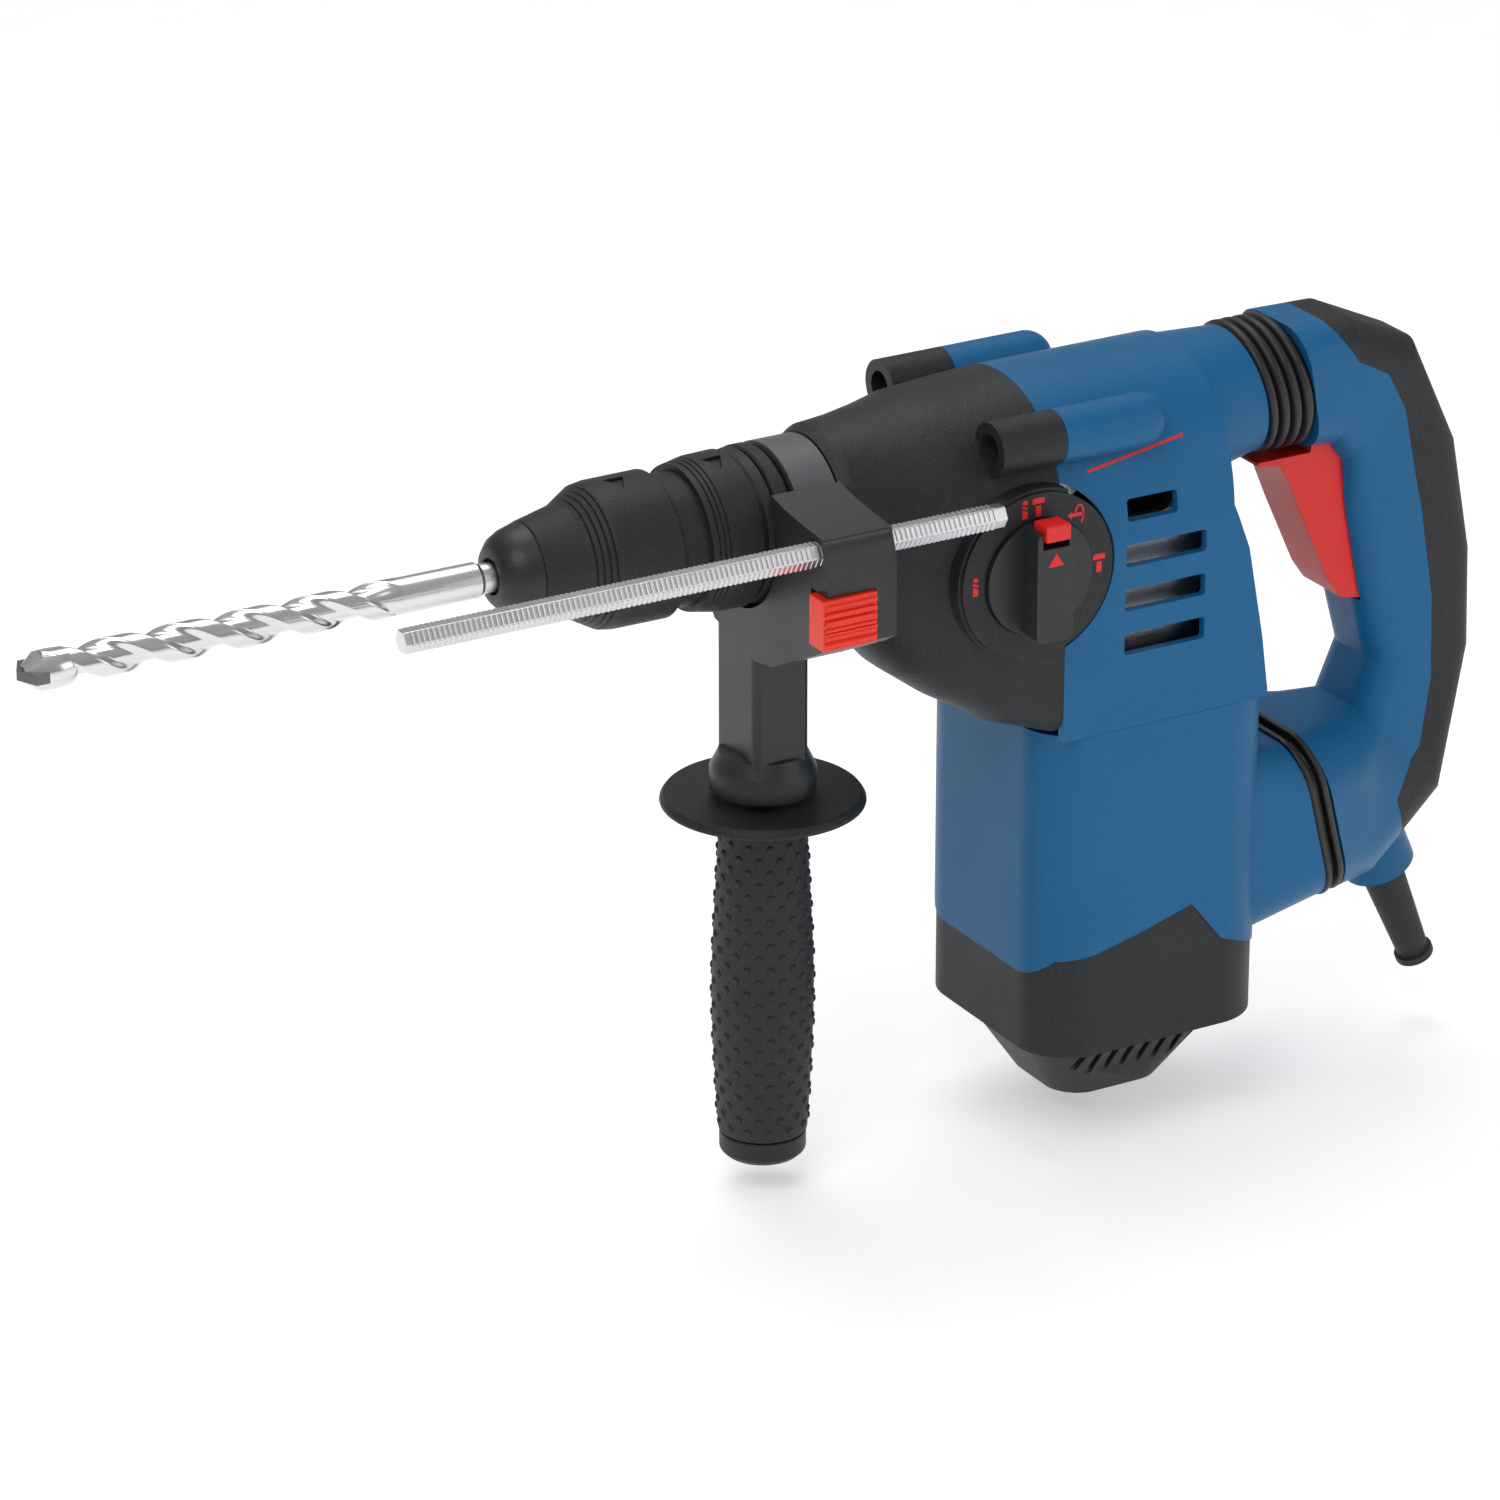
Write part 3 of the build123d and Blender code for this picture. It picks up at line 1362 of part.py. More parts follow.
with BuildPart() as handle_core:
    loft(handle_faces(handle_skin), ruled=True)

with BuildPart() as grip_zone:
    with BuildSketch(side_plane(-60)) as zone:
        with BuildLine():
            Polyline(
                (300, 45),
                (306, 33),
                (314, 21),
                (327, 14),
                (335, 0),
                (344, -38),
                (349.5, -70),
                (350.5, -99),
                (346, -124),
                (333, -139),
                (337, -153),
                (345, -172),
                (400, -172),
                (400, 45),
                close=True,
            )
        make_face()
    extrude(zone.sketch, amount=-120)

with BuildPart() as soft_grip:
    add(handle_body.part)
    add(grip_zone.part, mode=Mode.INTERSECT)
    add(handle_core.part, mode=Mode.SUBTRACT)
    with BuildSketch(foot_plane) as foot_hole:
        Circle(12.6)
    extrude(foot_hole.sketch, amount=60, mode=Mode.SUBTRACT)
save(soft_grip, "soft_grip")

# Hollow for the switch, open to the front for the trigger.
trigger_axis = Axis((trigger_pivot_x, 0, trigger_pivot_z), (0, 1, 0))
switch_x0 = 333.0
switch_x1 = 348.0
switch_z0 = -64.0
switch_z1 = -24.0
with BuildPart() as handle_hollow:
    with BuildSketch(side_plane(-handle_half_width + 4.5)) as pocket:
        with BuildLine():
            Polyline(
                (arm_rear_x - 6, 27),
                (318, 26),
                (333, 14),
                (349, -18),
                (357, -58),
                (357, -98),
                (348, -128),
                (330, -147),
                (arm_rear_x - 6, -153),
                (arm_rear_x - 6, -120),
                (324, -118),
                (336, -98),
                (331, -70),
                (318, -20),
                (304, -1),
                (arm_rear_x - 6, -1),
                close=True,
            )
        make_face()
    extrude(pocket.sketch, amount=-2 * handle_half_width + 9)
    with BuildSketch(side_plane(-trigger_half_width - trigger_gap)) as trigger_slot:
        trigger_profile(0.85)
    extrude(trigger_slot.sketch, amount=-2 * (trigger_half_width + trigger_gap))
    for share in (1 / 3, 2 / 3, 1):
        pulled = trigger_slot.sketch.rotate(trigger_axis, -trigger_swing * share)
        extrude(pulled, amount=-2 * (trigger_half_width + trigger_gap))
    with BuildSketch(side_plane(-handle_half_width + 5)) as pin_seat:
        with Locations((trigger_pivot_x, trigger_pivot_z)):
            Circle(trigger_pin_r + seat_gap)
    extrude(pin_seat.sketch, amount=-2 * handle_half_width + 10)
    with BuildSketch(foot_plane.offset(cord_seat_start)) as cord_seat:
        Circle(cord_sleeve_top_r + 0.3)
    extrude(cord_seat.sketch, amount=60)

for side, label in ((-1, "left_handle_shell"), (1, "right_handle_shell")):
    with BuildPart() as shell:
        add(handle_body.part)
        add(soft_grip.part, mode=Mode.SUBTRACT)
        add(handle_hollow.part, mode=Mode.SUBTRACT)
        with Locations((arm_rear_x, side * (seat_gap / 2 + 60), 0)):
            Box(400, 120, 600, mode=Mode.INTERSECT)
    save(shell, label)

with BuildPart() as trigger:
    with BuildSketch(side_plane(-trigger_half_width)) as blade:
        trigger_profile(0)
    extrude(blade.sketch, amount=-2 * trigger_half_width)
    with BuildSketch(side_plane(-trigger_half_width - 1)) as pin_hole:
        with Locations((trigger_pivot_x, trigger_pivot_z)):
            Circle(trigger_pin_r + run_gap)
    extrude(pin_hole.sketch, amount=-2 * trigger_half_width - 2, mode=Mode.SUBTRACT)
save(trigger, "trigger")

with BuildPart() as power_switch:
    with Locations(((switch_x0 + switch_x1) / 2, 0, (switch_z0 + switch_z1) / 2)):
        Box(switch_x1 - switch_x0, 2 * switch_half_width, switch_z1 - switch_z0)
save(power_switch, "power_switch")

pin_half_length = arm_half_width - 4
with BuildPart() as handle_pins:
    for x, z, radius, reach in (
        (handle_pivot_x, handle_pivot_z, pivot_pin_r, pin_half_length),
        (trigger_pivot_x, trigger_pivot_z, trigger_pin_r, handle_half_width - 5.2),
    ):
        with BuildSketch(side_plane(-reach)) as pin:
            with Locations((x, z)):
                Circle(radius)
        extrude(pin.sketch, amount=-2 * reach)
save(handle_pins, "handle_pins")

with BuildPart() as pivot_arm:
    with BuildSketch(side_plane(-12.3)) as arm:
        with Locations((handle_pivot_x, handle_pivot_z)):
            Circle(pivot_pin_r + 5)
        with BuildLine():
            Polyline(
                (handle_pivot_x, handle_pivot_z - 9),
                (arm_rear_x - 6.2, handle_pivot_z - 9),
                (arm_rear_x + 10, handle_pivot_z - 5),
                (arm_rear_x + 10, handle_pivot_z + 9),
                (handle_pivot_x, handle_pivot_z + 9),
                close=True,
            )
        make_face()
        with Locations((handle_pivot_x, handle_pivot_z)):
            Circle(pivot_pin_r + seat_gap, mode=Mode.SUBTRACT)
    extrude(arm.sketch, amount=-24.6)
save(pivot_arm, "pivot_arm")

with BuildPart() as damper_spring:
    coil(spring_web_x + upper_wall + 0.1, upper_arm_x - 8, neck_centre_z, 9.0, 1.2, 5)
save(damper_spring, "damper_spring")

sleeve_plane = Plane(
    origin=(sleeve_top_x, 0, sleeve_top_z),
    x_dir=(0, 1, 0),
    z_dir=(sin(radians(sleeve_tilt)), 0, -cos(radians(sleeve_tilt))),
)
with BuildPart() as cord_sleeve:
    with BuildSketch(sleeve_plane.offset(-14)) as root:
        Circle(cord_sleeve_top_r)
    extrude(root.sketch, amount=16)
    with BuildSketch(sleeve_plane.offset(2)) as taper_top:
        Circle(cord_sleeve_top_r)
    with BuildSketch(sleeve_plane.offset(sleeve_length - 3)) as taper_end:
        Circle(cord_sleeve_end_r)
    loft([taper_top.sketch, taper_end.sketch])
    with BuildSketch(sleeve_plane.offset(sleeve_length - 3)) as end_ring:
        Circle(cord_sleeve_flange_r)
    extrude(end_ring.sketch, amount=3)
    with BuildSketch(sleeve_plane.offset(-20)) as bore:
        Circle(cord_bore_r)
    extrude(bore.sketch, amount=sleeve_length + 30, mode=Mode.SUBTRACT)
save(cord_sleeve, "cord_sleeve")

# ---------------------------------------------------------------- side handle
hex_across = rod_flats / 2 + rod_clear
with BuildPart() as clamp_body:
    # Stem and its round collar.
    with BuildSketch(Plane.XY.offset(stem_z0)) as stem:
        with Locations((stem_x, 0)):
            RectangleRounded(2 * stem_half_x, 2 * stem_half_y, 3)
    extrude(stem.sketch, amount=-stem_z0 - 20)
    upright_points(
        stem_x,
        [
            (0, collar_ring_z0),
            (collar_ring_r, collar_ring_z0),
            (collar_ring_r, stem_z0 - 1),
            (collar_ring_r - 3, stem_z0 + 5),
            (0, stem_z0 + 9),
        ],
    )
    # Saddle and the arm out to the rod holder.
    with BuildSketch(Plane.YZ.offset(holder_x_front)) as arm:
        with BuildLine():
            Polyline(
                (stem_half_y + 9, -24),
                (stem_half_y, -36),
                (-stem_half_y, -42),
                (-24, -40),
                (-52, -26),
                (holder_front_y, -22),
                (holder_front_y, 4),
                (-55, 13.5),
                (-44, 14.5),
                (-32, 16),
                (-23, 18),
                (-20, 0),
                (0, -20),
                close=True,
            )
        make_face()
    extrude(arm.sketch, amount=band_x1 - 0.4 - holder_x_front)
    with BuildSketch(Plane.YZ.offset(holder_x_front)) as rod_holder:
        with Locations((rod_y, -2)):
            RectangleRounded(2 * (rod_y - holder_front_y), 30, 4)
    extrude(rod_holder.sketch, amount=holder_x_rear - holder_x_front)
    with BuildSketch(Plane.YZ.offset(holder_x_front - 30)) as saddle:
        Circle(saddle_r)
    extrude(saddle.sketch, amount=80, mode=Mode.SUBTRACT)
    with BuildSketch(Plane.YZ.offset(holder_x_front - 10)) as rod_hole:
        with Locations((rod_y, rod_z)):
            RegularPolygon(hex_across, 6, major_radius=False)
    extrude(rod_hole.sketch, amount=60, mode=Mode.SUBTRACT)
    # Pocket for the rod's release button.
    with Locations(((button_x0 + button_x1) / 2, button_pocket_y - 8, (button_z0 + button_z1) / 2)):
        Box(
            button_x1 - button_x0 + 2 * free_gap,
            16,
            button_z1 - button_z0 + 2 * free_gap,
            mode=Mode.SUBTRACT,
        )
    # Bolt's way through the stem, and the room for the band's lugs.
    with BuildSketch(Plane.XY.offset(collar_ring_z0 - 1)) as bolt_way:
        with Locations((stem_x, 0)):
            Circle(tension_bolt_r + free_gap)
    extrude(bolt_way.sketch, amount=100, mode=Mode.SUBTRACT)
    with Locations((stem_x + 2, 0, -34)):
        Box(2 * lug_reach + 1.5, 13, 32, mode=Mode.SUBTRACT)
save(clamp_body, "clamp_body")

with BuildPart() as clamp_band:
    band_in = neck_r + 0.05
    with BuildSketch(Plane.YZ.offset(band_x0)) as band:
        Circle(band_in + band_thickness)
        with Locations((0, -34)):
            Rectangle(11.4, 26)
        Circle(band_in, mode=Mode.SUBTRACT)
        with Locations((0, -36)):
            Rectangle(8.6, 30, mode=Mode.SUBTRACT)
    extrude(band.sketch, amount=band_x1 - band_x0)
    # The lugs are narrower than the band.
    with Locations((stem_x + 2 + lug_reach + 10, 0, -42)):
        Box(20, 20, 32.4, mode=Mode.SUBTRACT)
save(clamp_band, "clamp_band")

with BuildPart() as tension_bolt:
    upright_points(
        stem_x,
        [(0, -140), (tension_bolt_r - 0.5, -140), (tension_bolt_r, -139), (tension_bolt_r, -44), (0, -44)],
    )
    with Locations((stem_x + 2, 0, -40)):
        Box(10, 8.2, 8)
save(tension_bolt, "tension_bolt")

with BuildPart() as grip_core:
    upright_points(
        stem_x,
        [
            (tension_bolt_r + 0.05, grip_top_z),
            (guard_r - 1.5, grip_top_z + 2.6),
            (guard_r, grip_top_z + 0.6),
            (guard_r, grip_top_z - 0.8),
            (guard_r - 1.5, grip_top_z - 0.8),
            (grip_core_r + 2, grip_top_z - 1.8),
            (grip_core_r, grip_top_z - 3),
            (grip_core_r, grip_z0 + 9),
            (grip_end_r, grip_z0 + 8.5),
            (grip_end_r, grip_z0 + 2),
            (grip_end_r - 2, grip_z0),
            (0, grip_z0),
            (0, -145),
            (tension_bolt_r + 0.05, -142),
        ],
    )
save(grip_core, "grip_core")

with BuildPart() as grip_rubber:
    with BuildSketch(Plane.XZ) as profile:
        with BuildLine():
            Spline(
                (stem_x + 14.2, grip_top_z - 3.2),
                (stem_x + 15.6, -130),
                (stem_x + grip_mid_r, -165),
                (stem_x + 15.8, -195),
                (stem_x + 14.8, grip_z0 + 9.2),
            )
            Polyline(
                (stem_x + 14.8, grip_z0 + 9.2),
                (stem_x + grip_core_r + 0.02, grip_z0 + 9.2),
                (stem_x + grip_core_r + 0.02, grip_top_z - 3.2),
                (stem_x + 14.2, grip_top_z - 3.2),
            )
        make_face()
    revolve(profile.sketch, axis=Axis((stem_x, 0, 0), (0, 0, 1)))
save(grip_rubber, "grip_rubber")

with BuildPart() as depth_rod:
    with BuildSketch(Plane.YZ.offset(rod_x0)) as section:
        with Locations((rod_y, rod_z)):
            RegularPolygon(rod_flats / 2, 6, major_radius=False)
    extrude(section.sketch, amount=rod_x1 - rod_x0)
save(depth_rod, "depth_rod")

with BuildPart() as rod_button:
    with BuildSketch(Plane.XY.offset(button_z0)) as face:
        with Locations(((button_x0 + button_x1) / 2, button_y0 + button_depth / 2)):
            Rectangle(button_x1 - button_x0, button_depth)
    extrude(face.sketch, amount=button_z1 - button_z0)
    for i in range(5):
        with Locations(((button_x0 + button_x1) / 2, button_y0, button_z0 + 2.4 + 3.1 * i)):
            Box(button_x1 - button_x0, 1.2, 1.4)
save(rod_button, "rod_button")

# ---------------------------------------------------------------- mode selector
with BuildPart() as dial_plate:
    with BuildSketch(side_plane(dial_seat_y - seat_gap)) as disc:
        with Locations((dial_x, dial_z)):
            Circle(dial_r)
            Circle(knob_r + 0.3, mode=Mode.SUBTRACT)
    extrude(disc.sketch, amount=dial_seat_y - seat_gap - dial_y)
save(dial_plate, "dial_plate")

with BuildPart() as selector_knob:
    with BuildSketch(side_plane(dial_seat_y - 0.1)) as disc:
        with Locations((dial_x, dial_z)):
            Circle(knob_r)
    extrude(disc.sketch, amount=dial_seat_y - 0.1 - knob_y)
    with BuildSketch(side_plane(knob_y)) as bar:
        with Locations((dial_x, dial_z)):
            RectangleRounded(2 * bar_half_width, 2 * bar_half_length, 3)
    extrude(bar.sketch, amount=knob_y - bar_y)
    with BuildSketch(side_plane(dial_y + 9.5)) as spigot:
        with Locations((dial_x, dial_z)):
            Circle(knob_r - 6)
    extrude(spigot.sketch, amount=9.5)
    # Pocket for the lock button at the bar's upper end.
    with Locations((dial_x, (knob_y + bar_y) / 2 - lock_proud, dial_z + bar_half_length)):
        Box(2 * bar_half_width - 4, 9, 12, mode=Mode.SUBTRACT)
save(selector_knob, "selector_knob")

with BuildPart() as selector_lock:
    with Locations((dial_x, (knob_y + bar_y) / 2 - lock_proud, dial_z + bar_half_length - 0.5)):
        Box(2 * bar_half_width - 4.6, 8.2, 5.5)
save(selector_lock, "selector_lock")
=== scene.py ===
"""Dress a packed rotary hammer: finishes, moulded detail, studio light and camera.

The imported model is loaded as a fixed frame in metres. Each sub-assembly is a class that
turns its CAD nodes into finished pieces, and Geometry Nodes make what repeats.
"""

from __future__ import annotations

import json
import logging
import math
from dataclasses import dataclass
from enum import Enum
from typing import Callable, Iterable, Sequence

import bmesh
import bpy
from mathutils import Matrix, Vector
from mathutils.bvhtree import BVHTree

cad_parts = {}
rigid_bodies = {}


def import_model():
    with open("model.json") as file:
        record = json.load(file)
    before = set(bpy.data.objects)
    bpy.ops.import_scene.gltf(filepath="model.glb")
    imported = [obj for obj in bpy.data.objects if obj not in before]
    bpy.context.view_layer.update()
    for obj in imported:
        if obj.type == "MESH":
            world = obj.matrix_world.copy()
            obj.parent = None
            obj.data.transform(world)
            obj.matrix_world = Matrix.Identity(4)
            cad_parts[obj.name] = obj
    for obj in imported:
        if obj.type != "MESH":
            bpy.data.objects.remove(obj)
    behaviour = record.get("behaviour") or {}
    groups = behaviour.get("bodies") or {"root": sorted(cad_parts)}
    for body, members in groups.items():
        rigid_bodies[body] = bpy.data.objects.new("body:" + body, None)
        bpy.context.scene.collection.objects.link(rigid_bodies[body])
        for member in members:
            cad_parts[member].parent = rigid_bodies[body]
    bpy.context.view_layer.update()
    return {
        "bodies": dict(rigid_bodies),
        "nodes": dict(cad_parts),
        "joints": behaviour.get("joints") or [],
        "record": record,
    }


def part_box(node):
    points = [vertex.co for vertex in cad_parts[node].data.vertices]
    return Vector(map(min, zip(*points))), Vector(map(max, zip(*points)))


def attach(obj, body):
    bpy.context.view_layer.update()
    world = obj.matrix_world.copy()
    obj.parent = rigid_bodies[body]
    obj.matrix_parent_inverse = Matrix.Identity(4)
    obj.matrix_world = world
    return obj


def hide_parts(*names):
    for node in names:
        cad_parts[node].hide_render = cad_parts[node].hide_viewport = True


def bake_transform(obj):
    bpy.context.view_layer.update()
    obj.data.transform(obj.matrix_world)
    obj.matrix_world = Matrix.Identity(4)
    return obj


LOG = logging.getLogger("rotary_hammer")
MM = 0.001
Point2 = tuple[float, float]
Feed = object  # A plain value, or an output socket to link.
Colour = tuple[float, float, float, float]


class Tone(Enum):
    """Colours of the tool's materials, as 0 to 255 values."""

    BLUE = (24, 98, 146)
    BLACK = (36, 38, 41)
    DEEP_BLACK = (24, 25, 27)
    BAND_GREY = (86, 88, 91)
    RED = (226, 24, 20)
    ORANGE_RED = (240, 44, 16)
    STEEL = (188, 190, 192)
    BRIGHT = (222, 223, 225)
    DARK_STEEL = (120, 122, 126)
    CARBIDE = (112, 112, 112)
    ALUMINIUM = (196, 198, 202)
    COPPER = (184, 108, 66)
    CARBON = (28, 28, 30)
    FLOOR = (247, 247, 247)

    def linear(self) -> Colour:
        """Return the colour in linear light, with full alpha."""
        parts = []
        for value in self.value:
            share = value / 255
            parts.append(share / 12.92 if share <= 0.04045 else ((share + 0.055) / 1.055) ** 2.4)
        return (parts[0], parts[1], parts[2], 1.0)


class Lines(Enum):
    """How a machined surface is marked."""

    NONE = "none"
    TURNED = "turned"
    DRAWN = "drawn"


# ------------------------------------------------------------------ shader node groups


class ShaderGroups:
    """Shader node groups that several finishes share, each built once."""

    def __init__(self) -> None:
        """Start with no groups built."""
        self._made: dict[str, bpy.types.NodeTree] = {}

    def _new(self, name: str, inputs: Sequence[tuple[str, str, float]], outputs: Sequence[tuple[str, str]]):
        """Make an empty group with its sockets.

        Args:
            name: The group's name.
            inputs: Name, socket type and default of each input.
            outputs: Name and socket type of each output.

        Returns:
            The tree and its input and output nodes.
        """
        tree = bpy.data.node_groups.new(name, "ShaderNodeTree")
        for label, kind, default in inputs:
            socket = tree.interface.new_socket(name=label, in_out="INPUT", socket_type=kind)
            if kind == "NodeSocketFloat":
                socket.default_value = default
        for label, kind in outputs:
            tree.interface.new_socket(name=label, in_out="OUTPUT", socket_type=kind)
        source = tree.nodes.new("NodeGroupInput")
        sink = tree.nodes.new("NodeGroupOutput")
        self._made[name] = tree
        return tree, source, sink

    def grain(self) -> bpy.types.NodeTree:
        """Return the spark-eroded grain of a moulded face: a height and a fine speck mask."""
        if "moulded_grain" in self._made:
            return self._made["moulded_grain"]
        tree, source, sink = self._new(
            "moulded_grain",
            [("Vector", "NodeSocketVector", 0.0), ("Fineness", "NodeSocketFloat", 1500.0)],
            [("Height", "NodeSocketFloat"), ("Speck", "NodeSocketFloat")],
        )
        cells = tree.nodes.new("ShaderNodeTexVoronoi")
        cells.feature = "SMOOTH_F1"
        fine = tree.nodes.new("ShaderNodeTexNoise")
        fine.inputs["Detail"].default_value = 4.0
        fine.inputs["Roughness"].default_value = 0.65
        mix = tree.nodes.new("ShaderNodeMath")
        mix.operation = "ADD"
        speck = tree.nodes.new("ShaderNodeMapRange")
        speck.inputs["From Min"].default_value = 0.5
        speck.inputs["From Max"].default_value = 0.72
        for texture in (cells, fine):
            tree.links.new(source.outputs["Vector"], texture.inputs["Vector"])
            tree.links.new(source.outputs["Fineness"], texture.inputs["Scale"])
        tree.links.new(cells.outputs["Distance"], mix.inputs[0])
        tree.links.new(fine.outputs["Fac"], mix.inputs[1])
        tree.links.new(mix.outputs[0], sink.inputs["Height"])
        tree.links.new(fine.outputs["Fac"], speck.inputs["Value"])
        tree.links.new(speck.outputs["Result"], sink.inputs["Speck"])
        return tree

    def drift(self) -> bpy.types.NodeTree:
        """Return slow changes over a surface, such as handling sheen: a value from low to high."""
        if "slow_drift" in self._made:
            return self._made["slow_drift"]
        tree, source, sink = self._new(
            "slow_drift",
            [
                ("Vector", "NodeSocketVector", 0.0),
                ("Fineness", "NodeSocketFloat", 30.0),
                ("Low", "NodeSocketFloat", 0.4),
                ("High", "NodeSocketFloat", 0.5),
            ],
            [("Value", "NodeSocketFloat"), ("Mask", "NodeSocketFloat")],
        )
        noise = tree.nodes.new("ShaderNodeTexNoise")
        noise.inputs["Detail"].default_value = 3.0
        spread = tree.nodes.new("ShaderNodeMapRange")
        spread.inputs["From Min"].default_value = 0.3
        spread.inputs["From Max"].default_value = 0.7
        tree.links.new(source.outputs["Vector"], noise.inputs["Vector"])
        tree.links.new(source.outputs["Fineness"], noise.inputs["Scale"])
        tree.links.new(noise.outputs["Fac"], spread.inputs["Value"])
        tree.links.new(source.outputs["Low"], spread.inputs["To Min"])
        tree.links.new(source.outputs["High"], spread.inputs["To Max"])
        tree.links.new(spread.outputs["Result"], sink.inputs["Value"])
        tree.links.new(noise.outputs["Fac"], sink.inputs["Mask"])
        return tree

    def cut_lines(self) -> bpy.types.NodeTree:
        """Return tool marks of a lathe or a drawing die: noise stretched by the given scales."""
        if "cut_lines" in self._made:
            return self._made["cut_lines"]
        tree, source, sink = self._new(
            "cut_lines",
            [
                ("Vector", "NodeSocketVector", 0.0),
                ("Along", "NodeSocketFloat", 4000.0),
                ("Across", "NodeSocketFloat", 10.0),
            ],
            [("Height", "NodeSocketFloat")],
        )
        parts = tree.nodes.new("ShaderNodeSeparateXYZ")
        whole = tree.nodes.new("ShaderNodeCombineXYZ")
        noise = tree.nodes.new("ShaderNodeTexNoise")
        noise.inputs["Scale"].default_value = 1.0
        noise.inputs["Detail"].default_value = 2.0
        tree.links.new(source.outputs["Vector"], parts.inputs[0])
        for axis, label in (("X", "Along"), ("Y", "Across"), ("Z", "Across")):
            scaled = tree.nodes.new("ShaderNodeMath")
            scaled.operation = "MULTIPLY"
            tree.links.new(parts.outputs[axis], scaled.inputs[0])
            tree.links.new(source.outputs[label], scaled.inputs[1])
            tree.links.new(scaled.outputs[0], whole.inputs[axis])
        tree.links.new(whole.outputs[0], noise.inputs["Vector"])
        tree.links.new(noise.outputs["Fac"], sink.inputs["Height"])
        return tree


GROUPS = ShaderGroups()


# ------------------------------------------------------------------ finishes


@dataclass(frozen=True)
class Finish:
    """One finish, with the sizes of its grain in metres.

    Attributes:
        name: The material's name.
        tone: Its colour.
        rough: Mean roughness.
        metal: 1 for bare metal.
        grain: Height of the moulded grain.
        fineness: Grain cells per metre.
        speck: Share by which the grain's tops are lighter.
        drift: Half the change of roughness over the surface.
        lines: Marks of turning or drawing.
        coat: Weight of a clear gloss over the colour.
        specular: Level of the surface's reflection.
    """

    name: str
    tone: Tone
    rough: float
    metal: float = 0.0
    grain: float = 0.0
    fineness: float = 1500.0
    speck: float = 0.0
    drift: float = 0.04
    lines: Lines = Lines.NONE
    coat: float = 0.0
    specular: float = 0.5

    def material(self) -> bpy.types.Material:
        """Return the finish as a node material, built on first use."""
        found = bpy.data.materials.get(self.name)
        if found:
            return found
        made = bpy.data.materials.new(self.name)
        made.use_nodes = True
        tree = made.node_tree
        shader = tree.nodes["Principled BSDF"]
        shader.inputs["Metallic"].default_value = self.metal
        shader.inputs["Coat Weight"].default_value = self.coat
        shader.inputs["Specular IOR Level"].default_value = self.specular
        place = tree.nodes.new("ShaderNodeTexCoord")
        drift = tree.nodes.new("ShaderNodeGroup")
        drift.node_tree = GROUPS.drift()
        drift.inputs["Low"].default_value = self.rough - self.drift
        drift.inputs["High"].default_value = self.rough + self.drift
        tree.links.new(place.outputs["Object"], drift.inputs["Vector"])
        tree.links.new(drift.outputs["Value"], shader.inputs["Roughness"])
        self._colour(tree, place, drift, shader)
        self._relief(tree, place, shader)
        made.diffuse_color = self.tone.linear()
        return made

    def _colour(
        self,
        tree: bpy.types.NodeTree,
        place: bpy.types.Node,
        drift: bpy.types.Node,
        shader: bpy.types.Node,
    ) -> None:
        """Mix the tone with a lighter one on the grain's tops and a darker one in its drift.

        Args:
            tree: The material's nodes.
            place: The node that gives the coordinates.
            drift: The node that gives the slow change.
            shader: The surface shader.
        """
        base = self.tone.linear()
        light = tuple(min(1.0, part * (1 + self.speck) + 0.012 * self.speck) for part in base[:3]) + (1.0,)
        dark = tuple(part * 0.9 for part in base[:3]) + (1.0,)
        slow = tree.nodes.new("ShaderNodeMix")
        slow.data_type = "RGBA"
        slow_a, slow_b = [s for s in slow.inputs if s.type == "RGBA"]
        slow_a.default_value = base
        slow_b.default_value = dark
        tree.links.new(drift.outputs["Mask"], slow.inputs["Factor"])
        result = [s for s in slow.outputs if s.type == "RGBA"][0]
        if self.speck > 0:
            grain = tree.nodes.new("ShaderNodeGroup")
            grain.node_tree = GROUPS.grain()
            grain.inputs["Fineness"].default_value = self.fineness
            tree.links.new(place.outputs["Object"], grain.inputs["Vector"])
            fine = tree.nodes.new("ShaderNodeMix")
            fine.data_type = "RGBA"
            fine_a, fine_b = [s for s in fine.inputs if s.type == "RGBA"]
            fine_b.default_value = light
            tree.links.new(grain.outputs["Speck"], fine.inputs["Factor"])
            tree.links.new(result, fine_a)
            result = [s for s in fine.outputs if s.type == "RGBA"][0]
        tree.links.new(result, shader.inputs["Base Color"])

    def _relief(
        self, tree: bpy.types.NodeTree, place: bpy.types.Node, shader: bpy.types.Node
    ) -> None:
        """Feed the grain or the tool marks to the normal.

        Args:
            tree: The material's nodes.
            place: The node that gives the coordinates.
            shader: The surface shader.
        """
        if self.grain <= 0:
            return
        group = tree.nodes.new("ShaderNodeGroup")
        if self.lines is Lines.NONE:
            group.node_tree = GROUPS.grain()
            group.inputs["Fineness"].default_value = self.fineness
        else:
            group.node_tree = GROUPS.cut_lines()
            along, across = (self.fineness, 12.0) if self.lines is Lines.TURNED else (12.0, self.fineness)
            group.inputs["Along"].default_value = along
            group.inputs["Across"].default_value = across
        bump = tree.nodes.new("ShaderNodeBump")
        bump.inputs["Strength"].default_value = 1.0
        bump.inputs["Distance"].default_value = self.grain
        tree.links.new(place.outputs["Object"], group.inputs["Vector"])
        tree.links.new(group.outputs["Height"], bump.inputs["Height"])
        tree.links.new(bump.outputs["Normal"], shader.inputs["Normal"])


